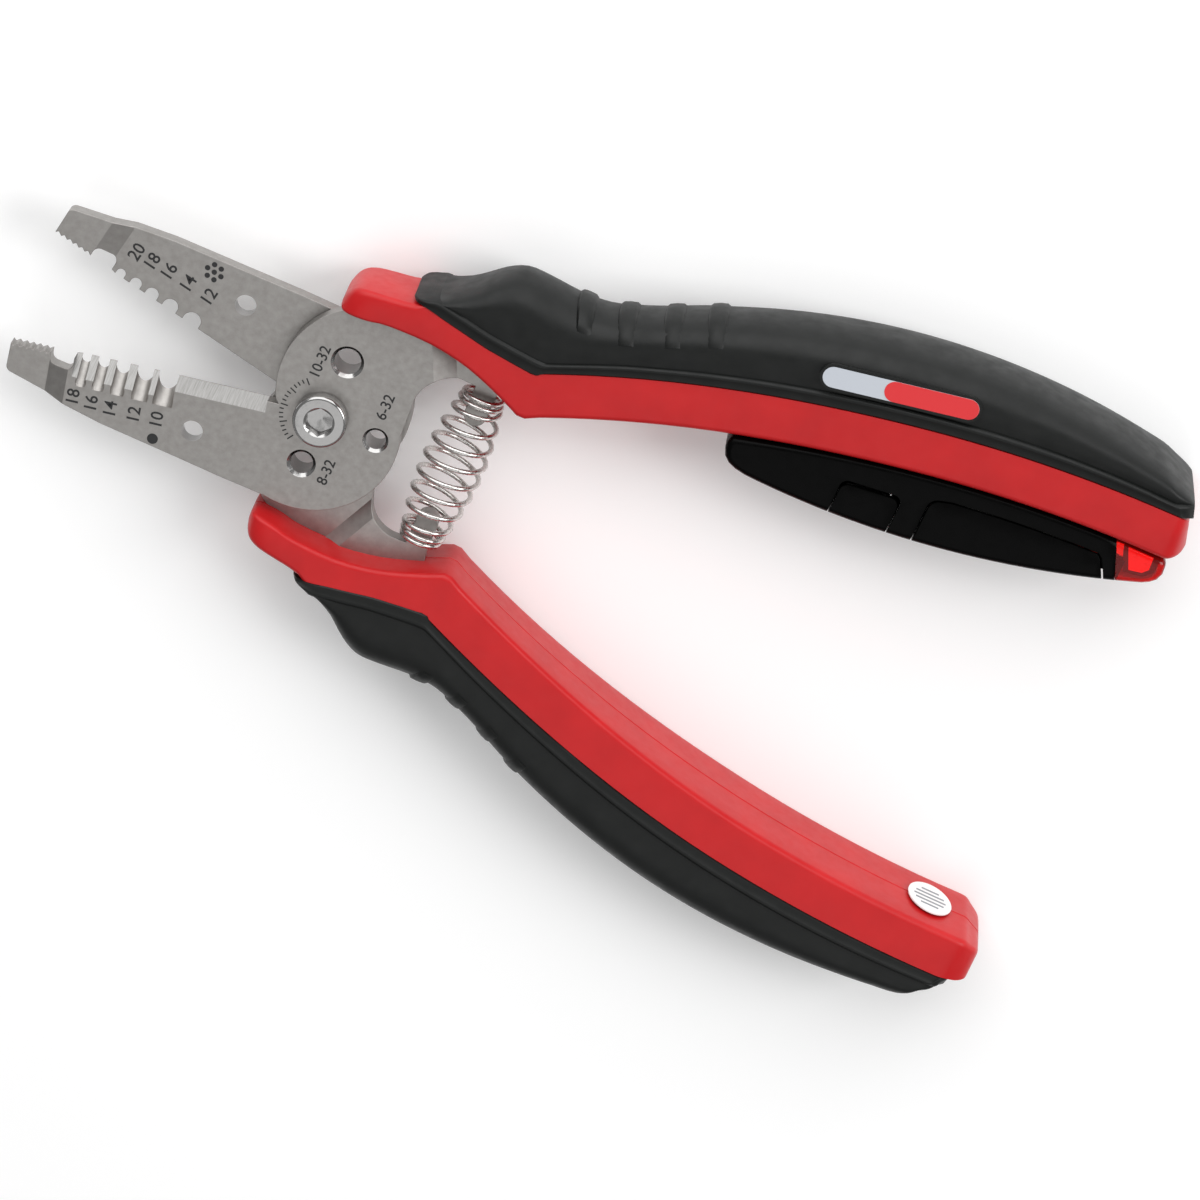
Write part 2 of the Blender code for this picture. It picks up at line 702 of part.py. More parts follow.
def detector_chassis(paint, parent):
    """The plate under the handle's inner face that closes the housing."""
    depth = POD_HALF_DEPTH - POD_WALL - SEAM
    span = (POD_START + 3.6, POD_END - 1.2)
    return strip("detector_chassis", span, SEAM, CHASSIS_THICKNESS, depth, paint, parent, 8)


def strip(name, span, drop, thickness, half_width, paint, parent, count=4):
    """A flat strip that follows the handle, drop below its inner edge."""
    rings = []
    for x in pod_places(*span, count):
        top = inner_edge(x) - drop
        low = top - thickness
        ring = [(x, top, half_width), (x, low, half_width)]
        ring += [(x, low, -half_width), (x, top, -half_width)]
        rings.append(ring)
    return loft(name, rings, paint, parent)


def upright_round(name, x, drop, height, radius, paint, parent, count=24):
    """A round piece that stands on its flat end, drop below the handle's inner face."""
    side, up = outward(x)
    along = Vector((up, -side, 0.0))
    down = Vector((-side, -up, 0.0))
    centre = Vector((x, inner_edge(x) - drop, 0.0))
    rings = []
    for depth in (0.0, height):
        ring = circle((0.0, 0.0), radius, count)
        rings.append([centre + down * depth + along * a + Vector((0.0, 0.0, b)) for a, b in ring])
    return loft(name, rings, paint, parent)


def electronics(paints, parent):
    """What lies between the chassis and the pod's skin, each piece hung below the one above it."""
    strip("sensor_antenna", ANTENNA_SPAN, ANTENNA_DROP, 0.35, 4.2, paints["brass"], parent)
    strip("circuit_board", BOARD_SPAN, BOARD_DROP, BOARD_THICKNESS, 5.4, paints["board"], parent)
    below_board = BOARD_DROP + BOARD_THICKNESS + 0.5
    centre = sum(BUTTON_SPAN) / 2
    switch_span = (centre - SWITCH_HALF, centre + SWITCH_HALF)
    strip("tactile_switch", switch_span, below_board, 3.0, SWITCH_HALF, paints["black"], parent, 2)
    upright_round("buzzer", BUZZER_X, below_board, 2.6, 3.6, paints["black"], parent, 20)
    for name, x in (("battery_cell_front", CELLS_X[0]), ("battery_cell_rear", CELLS_X[1])):
        upright_round(name, x, CELL_DROP, CELL_HEIGHT, CELL_RADIUS, paints["nickel"], parent)
    above = (CELLS_X[0] - CELL_RADIUS + 0.4, CELLS_X[1] + CELL_RADIUS - 0.4)
    strip("battery_contact_upper", above, CELL_DROP - 0.65, CONTACT, 3.0, paints["brass"], parent, 5)
    below = (CELLS_X[0] - 2.2, CELLS_X[1] + 2.2)
    strip("battery_contact_lower", below, CELL_DROP + 5.9, CONTACT, 2.6, paints["brass"], parent)


def indicator_lens(paint, parent):
    """The clear end of the pod, narrowing towards the butt of the handle."""
    rings = []
    for x in (POD_END + SEAM, 121.6, 124.0):
        rings.append(pod_ring(x, inner_edge(x) - SEAM, 0.0))
    rings.append([(LENS_END - 1.0, max(y, 30.6), z * 0.96) for _, y, z in pod_ring(125.3, 34.6, 0.0)])
    rings.append([(LENS_END, max(y, 31.8), z * 0.88) for _, y, z in pod_ring(126.0, 34.3, 0.0)])
    lens = loft("indicator_lens", rings, paint, parent)
    pocket = ((118.0, 30.6, -2.1), (122.6, 33.4, 2.1))
    boolean(lens, block("lens_pocket", *pocket, None, parent))
    return lens


def indicator_led(paint, parent):
    rings = []
    for x, share in ((114.9, 1.0), (120.6, 1.0), (121.6, 0.82), (122.2, 0.4)):
        ring = circle((LED_HEIGHT, 0.0), LED_RADIUS * share, 16)
        rings.append([(x, y, z) for y, z in ring])
    return loft("indicator_led", rings, paint, parent)


def main():
    clear_scene()
    steel = material("brushed_steel", (0.42, 0.41, 0.40), 0.42, 1.0)
    bright = material("polished_chrome", (0.75, 0.75, 0.75), 0.12, 1.0)
    wire = material("spring_steel", (0.58, 0.56, 0.54), 0.25, 1.0)
    red = material("red_plastic", (0.60, 0.02, 0.02), 0.38)
    black = material("black_rubber", (0.012, 0.013, 0.013), 0.5)
    pod = material("pod_plastic", (0.008, 0.008, 0.008), 0.35)
    grey = material("badge_enamel", (0.40, 0.43, 0.47), 0.35)
    white = material("label_vinyl", (0.80, 0.80, 0.80), 0.5)
    clear_red = material("lens_plastic", (0.55, 0.01, 0.01), 0.12, 0.0, 0.7)
    led = material("led_epoxy", (0.70, 0.05, 0.03), 0.2)
    paints = {
        "board": material("circuit_board_green", (0.02, 0.12, 0.04), 0.5),
        "brass": material("contact_brass", (0.60, 0.42, 0.20), 0.3, 1.0),
        "black": pod,
        "nickel": material("cell_nickel", (0.62, 0.61, 0.58), 0.25, 1.0),
    }

    tool = empty("wire_stripper")
    tool.location = (PIVOT_X * MM, PIVOT_Y * MM, MID_HEIGHT * MM)
    held_half = empty("upper_half", tool)
    swinging_half = empty("lower_half", tool)

    blade("front_blade", SOLID_NOTCHES, steel, held_half, 1)
    handle_core("upper_handle_core", red, held_half, 1)
    handle_grip("upper_grip", black, held_half, 1)
    badge(grey, held_half)
    pivot_screw(bright, held_half)
    pivot_nut(bright, held_half)
    return_spring(wire, held_half)

    blade("rear_blade", STRANDED_NOTCHES, steel, swinging_half, -1)
    handle_core("lower_handle_core", red, swinging_half, -1)
    handle_grip("lower_grip", black, swinging_half, -1)
    oval_label(white, swinging_half)

    detector_housing(pod, held_half)
    detector_chassis(pod, held_half)
    power_button(pod, held_half)
    battery_door(pod, held_half)
    indicator_lens(clear_red, held_half)
    indicator_led(led, held_half)
    electronics(paints, held_half)


main()
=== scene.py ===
"""Looks of the wire stripper: notched steel blades, sprung two-colour handles and a detector pod.

Every piece is modelled in millimetres round the pivot, with +X towards the handles, +Y towards the
upper handle and +Z out of the front blade, and is then set down at the pivot of the CAD frame.
"""

import json
from math import asin, atan2, cos, pi, radians, sin, sqrt

import bpy
from mathutils import Matrix, Vector


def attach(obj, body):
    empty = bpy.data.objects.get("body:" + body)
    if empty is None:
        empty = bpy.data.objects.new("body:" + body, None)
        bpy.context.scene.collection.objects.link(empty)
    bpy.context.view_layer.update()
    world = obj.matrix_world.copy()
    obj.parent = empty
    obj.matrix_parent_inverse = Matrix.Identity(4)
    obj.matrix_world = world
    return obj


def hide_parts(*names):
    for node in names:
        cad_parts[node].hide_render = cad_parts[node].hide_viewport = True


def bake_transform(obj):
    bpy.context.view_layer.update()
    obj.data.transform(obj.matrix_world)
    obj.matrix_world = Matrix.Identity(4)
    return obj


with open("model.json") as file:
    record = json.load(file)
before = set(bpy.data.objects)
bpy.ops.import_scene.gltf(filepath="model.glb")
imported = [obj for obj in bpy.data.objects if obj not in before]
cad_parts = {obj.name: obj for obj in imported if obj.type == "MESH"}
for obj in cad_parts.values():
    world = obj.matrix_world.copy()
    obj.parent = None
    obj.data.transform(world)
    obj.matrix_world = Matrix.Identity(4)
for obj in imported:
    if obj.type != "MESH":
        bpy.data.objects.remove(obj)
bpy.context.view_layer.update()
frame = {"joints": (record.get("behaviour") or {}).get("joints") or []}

MM = 0.001
PIVOT = Vector(frame["joints"][0]["pos_m"])
OPEN_HALF = frame["joints"][0]["range_deg"][1] / 2

# Blades
PLATE = 2.6
LAP = 0.15
EDGE_FLAT = 0.2
TOOTH_TIP = 0.5
SOLID_NOTCHES = ((-36.9, 0.62), (-34.2, 0.74), (-31.2, 0.90), (-27.7, 1.10), (-24.1, 1.35))
STRANDED_NOTCHES = ((-37.0, 0.72), (-34.3, 0.88), (-31.4, 1.02), (-28.1, 1.20), (-24.2, 1.40))
NOSE_TIP = -48.6
NOSE_HEEL = -42.3
RECESS_END = -38.5
CUTTER_START = -22.6
TANG_BEND = 25.0
LOOPING_RADIUS = 1.65
SCALE_RADIUS = 6.5
FRONT_TANG_STEP = (17.4, 20.8)
REAR_TANG_STEP = (15.2, 17.4)

# Handles
INNER_RADIUS = 221.6
INNER_TOP = (122.0, 35.1)
OUTER_RADIUS = 118.0
OUTER_TOP = (97.0, 51.2)
RED_BAND = 7.3
RIM = 2.4
SLIM = 6.8
FULL = 8.8
POD_HALF_DEPTH = 7.1


# Working tools


def pick(*pieces):
    bpy.ops.object.select_all(action="DESELECT")
    for piece in pieces:
        piece.select_set(True)
    bpy.context.view_layer.objects.active = pieces[0]


def edit(piece):
    pick(piece)
    bpy.ops.object.mode_set(mode="EDIT")


def leave():
    bpy.ops.object.mode_set(mode="OBJECT")


def all_faces():
    bpy.ops.mesh.select_all(action="SELECT")


def face_out(piece):
    edit(piece)
    all_faces()
    bpy.ops.mesh.remove_doubles(threshold=0.0005)
    bpy.ops.mesh.normals_make_consistent(inside=False)
    leave()


def choose(piece, wanted):
    """Leaves only the faces selected whose centre and normal pass the test."""
    edit(piece)
    bpy.ops.mesh.select_mode(type="FACE")
    bpy.ops.mesh.select_all(action="DESELECT")
    leave()
    for face in piece.data.polygons:
        face.select = wanted(face.center, face.normal)
    bpy.ops.object.mode_set(mode="EDIT")


def modify(piece, kind, **settings):
    pick(piece)
    modifier = piece.modifiers.new(kind.lower(), kind)
    for name, value in settings.items():
        setattr(modifier, name, value)
    bpy.ops.object.modifier_apply(modifier=modifier.name)
    return piece


def round_edges(piece, width, segments=3, angle=32.0):
    return modify(
        piece, "BEVEL", width=width, segments=segments, limit_method="ANGLE", angle_limit=radians(angle)
    )


def cut(piece, cutter, operation="DIFFERENCE"):
    modify(piece, "BOOLEAN", object=cutter, operation=operation, material_mode="TRANSFER")
    bpy.data.objects.remove(cutter)
    return piece


def merged(piece, other):
    modify(piece, "BOOLEAN", object=other, operation="UNION")
    bpy.data.objects.remove(other)
    return piece


def paint(piece, *finishes):
    for finish in finishes:
        piece.data.materials.append(finish)
    return piece


def join(piece, *others):
    pick(piece, *others)
    bpy.ops.object.join()
    return piece


def copy_of(piece, name):
    made = piece.copy()
    made.data = piece.data.copy()
    made.name = name
    bpy.context.scene.collection.objects.link(made)
    return made


def mirrored(piece, name):
    """The same piece for the other handle, mirrored in Y."""
    made = copy_of(piece, name)
    pick(made)
    made.scale = (1.0, -1.0, 1.0)
    bpy.ops.object.transform_apply(location=False, rotation=False, scale=True)
    face_out(made)
    return made


def settle(piece, body, slot, *nodes, crease=32.0):
    """Shades the piece, sets it down at the pivot at its real size, and hands it to its body."""
    pick(piece)
    bpy.ops.object.shade_smooth_by_angle(angle=radians(crease))
    piece.scale = (MM, MM, MM)
    piece.location = PIVOT
    bpy.ops.object.transform_apply(location=True, rotation=True, scale=True)
    if body:
        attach(piece, body)
    if nodes:
        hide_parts(*nodes)
    return piece


def turned(x, y, angle):
    turn = radians(angle)
    return x * cos(turn) - y * sin(turn), x * sin(turn) + y * cos(turn)


def draw(name, strokes, height=0.0):
    """A flat face drawn by pulling one vertex along: a pair is a corner to go to, and a triple is an
    arc round a centre, by so many degrees, in so many steps."""
    x, y = strokes[0]
    bpy.ops.object.select_all(action="DESELECT")
    bpy.ops.mesh.primitive_plane_add(size=1.0)
    piece = bpy.context.object
    piece.name = name
    bpy.ops.object.mode_set(mode="EDIT")
    bpy.ops.mesh.select_mode(type="VERT")
    all_faces()
    bpy.ops.mesh.merge(type="CENTER")
    bpy.ops.transform.translate(value=(x, y, height))
    for stroke in strokes[1:]:
        if len(stroke) == 2:
            step = (stroke[0] - x, stroke[1] - y, 0.0)
            bpy.ops.mesh.extrude_vertices_move(TRANSFORM_OT_translate={"value": step})
            x, y = stroke
            continue
        centre, angle, steps = stroke
        # Spin turns clockwise for a positive angle.
        bpy.ops.mesh.spin(
            steps=steps, angle=-radians(angle), center=(*centre, height), axis=(0.0, 0.0, 1.0)
        )
        x, y = turned(x - centre[0], y - centre[1], angle)
        x, y = x + centre[0], y + centre[1]
    all_faces()
    bpy.ops.mesh.remove_doubles(threshold=0.0005)
    bpy.ops.mesh.edge_face_add()
    leave()
    return piece


def plate(name, strokes, low, high):
    """The drawn outline, raised from low to high."""
    piece = draw(name, strokes, low)
    edit(piece)
    all_faces()
    bpy.ops.mesh.extrude_region_move(TRANSFORM_OT_translate={"value": (0.0, 0.0, high - low)})
    leave()
    face_out(piece)
    return piece


def rod(name, radius, low, high, centre=(0.0, 0.0), vertices=48, turn=0.0):
    bpy.ops.object.select_all(action="DESELECT")
    bpy.ops.mesh.primitive_cylinder_add(
        vertices=vertices, radius=radius, depth=high - low,
        location=(*centre, (low + high) / 2), rotation=(0.0, 0.0, radians(turn)),
    )  # fmt: skip
    piece = bpy.context.object
    piece.name = name
    bpy.ops.object.transform_apply()
    return piece


def cone(name, low_radius, high_radius, low, high, centre=(0.0, 0.0), vertices=48):
    bpy.ops.object.select_all(action="DESELECT")
    bpy.ops.mesh.primitive_cone_add(
        vertices=vertices, radius1=low_radius, radius2=high_radius, depth=high - low,
        location=(*centre, (low + high) / 2),
    )  # fmt: skip
    piece = bpy.context.object
    piece.name = name
    bpy.ops.object.transform_apply()
    return piece


def box(name, low, high):
    bpy.ops.object.select_all(action="DESELECT")
    middle = [(a + b) / 2 for a, b in zip(low, high)]
    bpy.ops.mesh.primitive_cube_add(size=1.0, location=middle)
    piece = bpy.context.object
    piece.name = name
    piece.scale = [b - a for a, b in zip(low, high)]
    bpy.ops.object.transform_apply()
    return piece


def pull(name, section, stations):
    """Draws a section from 0 to 1 across and -1 to 1 in depth, stands it up at the first station, and
    pulls it through the rest. A station is its near point, its far point and its half depth."""
    piece = draw(name, section)
    near, far, depth = stations[0]
    span = (far - near).length
    heading = atan2(far.y - near.y, far.x - near.x)
    piece.scale = (span, depth, 1.0)
    piece.rotation_euler = (pi / 2, 0.0, heading)
    piece.location = (near.x, near.y, 0.0)
    pick(piece)
    bpy.ops.object.transform_apply()
    edit(piece)
    all_faces()
    for near_next, far_next, depth_next in stations[1:]:
        step = near_next - near
        bpy.ops.mesh.extrude_region_move(TRANSFORM_OT_translate={"value": (step.x, step.y, 0.0)})
        across = far_next - near_next
        heading_next = atan2(across.y, across.x)
        centre = (near_next.x, near_next.y, 0.0)
        # Rotate turns clockwise for a positive angle.
        bpy.ops.transform.rotate(value=heading - heading_next, orient_axis="Z", center_override=centre)
        side = across.normalized()
        bpy.ops.transform.resize(
            value=(across.length / span, 1.0, depth_next / depth), orient_type="GLOBAL",
            orient_matrix=((side.x, side.y, 0.0), (-side.y, side.x, 0.0), (0.0, 0.0, 1.0)),
            orient_matrix_type="GLOBAL", center_override=centre,
        )  # fmt: skip
        near, span, depth, heading = near_next, across.length, depth_next, heading_next
    leave()
    face_out(piece)
    return piece


def on_curve(values, t):
    """The value a share t of the way from the second to the third, on the smooth curve through all four."""
    a, b, c, d = values
    bend = 2 * a - 5 * b + 4 * c - d
    twist = 3 * b - a - 3 * c + d
    return 0.5 * (2 * b + (c - a) * t + bend * t**2 + twist * t**3)


def eased(stations, between):
    """More stations on a smooth curve through the given ones."""
    rows = [(a.x, a.y, b.x, b.y, depth) for a, b, depth in stations]
    rows = [rows[0]] + rows + [rows[-1]]
    made = []
    for first, second, third, fourth in zip(rows, rows[1:], rows[2:], rows[3:]):
        for step in range(between):
            t = step / between
            row = [on_curve(values, t) for values in zip(first, second, third, fourth)]
            made.append((Vector(row[:2]), Vector(row[2:4]), row[4]))
    return made + [stations[-1]]


def station(near, far, depth):
    return Vector(near), Vector(far), depth


# Finishes


def finish(name, colour, roughness, metallic=0.0, **sockets):
    """A new material, its nodes, and its shader with the plain settings made."""
    made = bpy.data.materials.new(name)
    made.use_nodes = True
    shader = made.node_tree.nodes["Principled BSDF"]
    shader.inputs["Base Color"].default_value = (*colour, 1.0)
    shader.inputs["Roughness"].default_value = roughness
    shader.inputs["Metallic"].default_value = metallic
    for socket, value in sockets.items():
        shader.inputs[socket.replace("_", " ")].default_value = value
    return made


def pattern(material, scale, stretch=(1.0, 1.0, 1.0), detail=4.0):
    """Noise in object coordinates. Scale counts features in each metre."""
    nodes, links = material.node_tree.nodes, material.node_tree.links
    place = nodes.new("ShaderNodeTexCoord")
    mapping = nodes.new("ShaderNodeMapping")
    mapping.inputs["Scale"].default_value = stretch
    noise = nodes.new("ShaderNodeTexNoise")
    noise.inputs["Scale"].default_value = scale
    noise.inputs["Detail"].default_value = detail
    links.new(place.outputs["Object"], mapping.inputs["Vector"])
    links.new(mapping.outputs["Vector"], noise.inputs["Vector"])
    return noise.outputs["Fac"]


def spread(material, value, low, high, socket):
    """Maps a pattern onto a range of a shader socket."""
    nodes, links = material.node_tree.nodes, material.node_tree.links
    span = nodes.new("ShaderNodeMapRange")
    span.inputs["From Min"].default_value = 0.3
    span.inputs["From Max"].default_value = 0.7
    span.inputs["To Min"].default_value = low
    span.inputs["To Max"].default_value = high
    links.new(value, span.inputs["Value"])
    links.new(span.outputs["Result"], nodes["Principled BSDF"].inputs[socket])


def tint(material, value, dark, light):
    nodes, links = material.node_tree.nodes, material.node_tree.links
    ramp = nodes.new("ShaderNodeValToRGB")
    ramp.color_ramp.elements[0].position = 0.3
    ramp.color_ramp.elements[0].color = (*dark, 1.0)
    ramp.color_ramp.elements[1].position = 0.7
    ramp.color_ramp.elements[1].color = (*light, 1.0)
    links.new(value, ramp.inputs["Fac"])
    links.new(ramp.outputs["Color"], nodes["Principled BSDF"].inputs["Base Color"])


def relief(material, value, height, strength=1.0):
    nodes, links = material.node_tree.nodes, material.node_tree.links
    bump = nodes.new("ShaderNodeBump")
    bump.inputs["Strength"].default_value = strength
    bump.inputs["Distance"].default_value = height
    links.new(value, bump.inputs["Height"])
    links.new(bump.outputs["Normal"], nodes["Principled BSDF"].inputs["Normal"])


def glow(material, colour, strength):
    shader = material.node_tree.nodes["Principled BSDF"]
    shader.inputs["Emission Color"].default_value = (*colour, 1.0)
    shader.inputs["Emission Strength"].default_value = strength


def blasted_steel():
    made = finish("blasted_steel", (0.42, 0.405, 0.39), 0.42, 1.0)
    grain = pattern(made, 5200.0)
    tint(made, pattern(made, 900.0), (0.34, 0.325, 0.31), (0.40, 0.385, 0.37))
    spread(made, grain, 0.40, 0.52, "Roughness")
    relief(made, grain, 0.000012, 0.5)
    return made


def ground_steel():
    """Bright face left by the wheel, with its marks running down from the edge."""
    made = finish("ground_steel", (0.38, 0.375, 0.365), 0.34, 1.0)
    marks = pattern(made, 1500.0, (4.0, 0.25, 0.25), 6.0)
    tint(made, marks, (0.19, 0.186, 0.18), (0.32, 0.316, 0.31))
    spread(made, marks, 0.32, 0.46, "Roughness")
    relief(made, marks, 0.000012, 0.5)
    return made


def polished_steel():
    made = finish("polished_steel", (0.40, 0.395, 0.39), 0.2, 1.0)
    scuffs = pattern(made, 1800.0, detail=6.0)
    spread(made, scuffs, 0.10, 0.26, "Roughness")
    relief(made, pattern(made, 6000.0), 0.000004, 0.4)
    return made


def spring_wire():
    made = finish("spring_wire", (0.66, 0.64, 0.62), 0.2, 1.0)
    drawn = pattern(made, 2600.0, detail=5.0)
    tint(made, drawn, (0.50, 0.48, 0.46), (0.78, 0.76, 0.74))
    spread(made, drawn, 0.14, 0.34, "Roughness")
    return made


def red_moulding():
    made = finish(
        "red_moulding", (0.50, 0.009, 0.011), 0.40, 0.0, Specular_IOR_Level=0.32,
        Subsurface_Weight=0.04, Subsurface_Radius=(0.002, 0.0004, 0.0003),
    )  # fmt: skip
    tint(made, pattern(made, 160.0), (0.47, 0.008, 0.010), (0.53, 0.010, 0.012))
    spark = pattern(made, 7000.0)
    spread(made, pattern(made, 700.0), 0.31, 0.42, "Roughness")
    relief(made, spark, 0.00001, 0.35)
    return made


def black_overmould():
    made = finish("black_overmould", (0.006, 0.007, 0.0065), 0.42, 0.0, Specular_IOR_Level=0.30)
    tint(made, pattern(made, 240.0), (0.0030, 0.0038, 0.0034), (0.0052, 0.0060, 0.0056))
    fine = pattern(made, 5200.0, detail=5.0)
    spread(made, pattern(made, 420.0), 0.40, 0.54, "Roughness")
    relief(made, fine, 0.00002, 0.4)
    return made


def pod_moulding():
    made = finish("pod_moulding", (0.001, 0.001, 0.001), 0.28, 0.0, Specular_IOR_Level=0.06)
    spread(made, pattern(made, 600.0), 0.20, 0.34, "Roughness")
    relief(made, pattern(made, 6500.0), 0.000012, 0.3)
    return made


def lens_moulding():
    made = finish("lens_moulding", (0.85, 0.02, 0.02), 0.06, Transmission_Weight=0.92, IOR=1.35)
    # The faint emission is a painted glow in the lens, which is no lamp.
    glow(made, (0.9, 0.02, 0.01), 0.03)
    spread(made, pattern(made, 900.0), 0.05, 0.14, "Roughness")
    return made


def printed(name, colour, roughness=0.45):
    made = finish(name, colour, roughness)
    worn = pattern(made, 5000.0, detail=6.0)
    spread(made, worn, roughness - 0.08, roughness + 0.1, "Roughness")
    return made


def bare(name, colour, roughness, metallic, scale):
    """Finish of a piece inside the pod: slightly uneven, with a little relief."""
    made = finish(name, colour, roughness, metallic)
    uneven = pattern(made, scale)
    darker = tuple(0.75 * part for part in colour)
    tint(made, uneven, darker, colour)
    spread(made, uneven, roughness - 0.06, roughness + 0.08, "Roughness")
    relief(made, uneven, 0.00001, 0.3)
    return made


BLASTED = blasted_steel()
GROUND = ground_steel()
POLISHED = polished_steel()
WIRE = spring_wire()
RED = red_moulding()
BLACK = black_overmould()
POD = pod_moulding()
LENS = lens_moulding()
# Painted glow for a block inside the lens that paints its bright core, and painted shade for a dark block
# round it; neither block is a lamp.
PAINTED_GLOW = bare("painted_lens_glow", (0.9, 0.02, 0.02), 0.3, 0.0, 900.0)
glow(PAINTED_GLOW, (1.0, 0.03, 0.03), 0.55)
PAINTED_SHADE = bare("painted_lens_shade", (0.05, 0.002, 0.002), 0.4, 0.0, 900.0)
INK = printed("black_ink", (0.012, 0.012, 0.013))
WHITE = printed("white_print", (0.80, 0.79, 0.79))
SILVER = printed("badge_silver", (0.50, 0.53, 0.58), 0.38)
SIGNAL = printed("badge_red", (0.66, 0.02, 0.025), 0.36)
GREY = printed("label_grey", (0.22, 0.24, 0.26))


# Blades


def jaw_strokes(notches, swing):
    """Outline of the lower jaw from the heel of its cutting edge round the nose to its outer edge."""

    def at(x, y):
        return turned(x, y, swing)

    strokes = [at(-6.8, TOOTH_TIP), at(CUTTER_START, TOOTH_TIP)]
    for x, radius in reversed(notches):
        strokes += [at(x + radius, TOOTH_TIP), at(x + radius, 0.0)]
        strokes += [(at(x, 0.0), -180.0, 16), at(x - radius, TOOTH_TIP)]
    strokes += [at(RECESS_END, 0.3), at(RECESS_END, -0.7), (at(RECESS_END - 1.2, -0.7), -90.0, 8)]
    strokes += [at(NOSE_HEEL + 0.9, -1.9), (at(NOSE_HEEL + 0.9, -1.0), -90.0, 6)]
    pitch = (NOSE_HEEL - NOSE_TIP) / 6
    for tooth in range(6):
        strokes.append(at(NOSE_HEEL - pitch * tooth, -0.15))
        strokes.append(at(NOSE_HEEL - pitch * (tooth + 0.62), -0.58))
    strokes += [at(NOSE_TIP, -0.15), at(NOSE_TIP - 0.1, -3.9), (at(NOSE_TIP + 0.9, -3.9), 70.0, 5)]
    strokes += [at(-42.0, -6.7), at(-33.0, -9.2), at(-21.0, -11.7), at(-13.0, -13.4)]
    return strokes


def arc(centre, radius, start, end, steps):
    """The corner at which an arc starts, and the arc."""
    first = (centre[0] + radius * cos(radians(start)), centre[1] + radius * sin(radians(start)))
    return [first, (centre, end - start, steps)]


def blade_strokes(notches):
    strokes = jaw_strokes(notches, OPEN_HALF)
    strokes += arc((-1.0, -2.0), 13.8, -100.0, 18.0, 40)
    strokes += arc((17.6, 8.3), 5.8, 190.0, 96.0, 20)
    strokes += [(19.45, 14.0)]
    strokes += arc((21.2, 9.65), 1.75, 180.0, 360.0, 16)
    strokes += [(22.95, 14.2), (23.5, 16.6), (28.4, 16.7), (44.0, 22.2), (43.0, 25.6)]
    strokes += [(28.3, 19.5), (24.5, 19.5), (17.0, 21.6), (11.0, 22.6), (5.0, 21.3), (-2.4, 19.6)]
    strokes += arc((5.3, 6.0), 14.2, 122.0, 206.0, 28)
    return strokes


def slice_at(direction, distance):
    """Adds an edge all round where the plane across this direction meets the piece."""
    all_faces()
    bpy.ops.mesh.bisect(plane_co=tuple(direction * distance), plane_no=tuple(direction))


def bend_to_middle(piece, direction, start, end, drop):
    """Steps the plate down between start and end along the direction, and leaves it down beyond."""
    edit(piece)
    slice_at(direction, start)
    slice_at(direction, end)
    leave()
    for vertex in piece.data.vertices:
        share = (vertex.co.dot(direction) - start) / (end - start)
        vertex.co.z -= drop * min(max(share, 0.0), 1.0)


def grind(piece, x_from, x_to, drop):
    """Grinds the face away in front of an edge, so that it falls by drop across the plate."""
    low, high = LAP + EDGE_FLAT, LAP + PLATE
    slope = drop / (high - low)
    lead = TOOTH_TIP + 0.03
    wheel = draw("wheel", [(lead, low), (lead - drop - slope, high + 1.0), (4.0, high + 1.0), (4.0, low)])
    wheel.rotation_euler = (pi / 2, 0.0, pi / 2)
    wheel.location = (x_from, 0.0, 0.0)
    pick(wheel)
    bpy.ops.object.transform_apply()
    edit(wheel)
    all_faces()
    bpy.ops.mesh.extrude_region_move(TRANSFORM_OT_translate={"value": (x_to - x_from, 0.0, 0.0)})
    leave()
    face_out(wheel)
    wheel.rotation_euler.z = radians(OPEN_HALF)
    pick(wheel)
    bpy.ops.object.transform_apply()
    paint(wheel, GROUND)
    cut(piece, wheel)


def groove(piece, x, radius):
    """The round channel that runs down the ground face from a notch."""
    lean = atan2(3.3, PLATE - EDGE_FLAT)
    bpy.ops.object.select_all(action="DESELECT")
    bpy.ops.mesh.primitive_cylinder_add(vertices=32, radius=radius, depth=9.0)
    channel = bpy.context.object
    channel.scale = ((radius + 0.22) / radius, 1.0, 1.0)
    bpy.ops.object.transform_apply(location=False, rotation=False, scale=True)
    channel.rotation_euler = (lean, 0.0, 0.0)
    channel.location = (x, 0.25 - 1.2 * sin(lean) * 0.5, LAP + 0.3)
    bpy.ops.object.transform_apply()
    channel.rotation_euler.z = radians(OPEN_HALF)
    bpy.ops.object.transform_apply()
    paint(channel, BLASTED)
    cut(piece, channel)


def drill(piece, centre, radius, chamfer):
    """A hole through the plate, flared at the front face where there is a chamfer."""
    top = LAP + PLATE
    bit = rod("drill", radius, -4.0, top - chamfer, centre)
    if chamfer:
        choose(bit, lambda place, normal: normal.z > 0.5)
        rise = chamfer + 0.4
        bpy.ops.mesh.extrude_region_move(TRANSFORM_OT_translate={"value": (0.0, 0.0, rise)})
        wider = (radius + rise) / radius
        bpy.ops.transform.resize(value=(wider, wider, 1.0), center_override=(*centre, top))
        leave()
    else:
        pick(bit)
        bit.location.z += 1.0
        bpy.ops.object.transform_apply()
    paint(bit, POLISHED)
    cut(piece, bit)


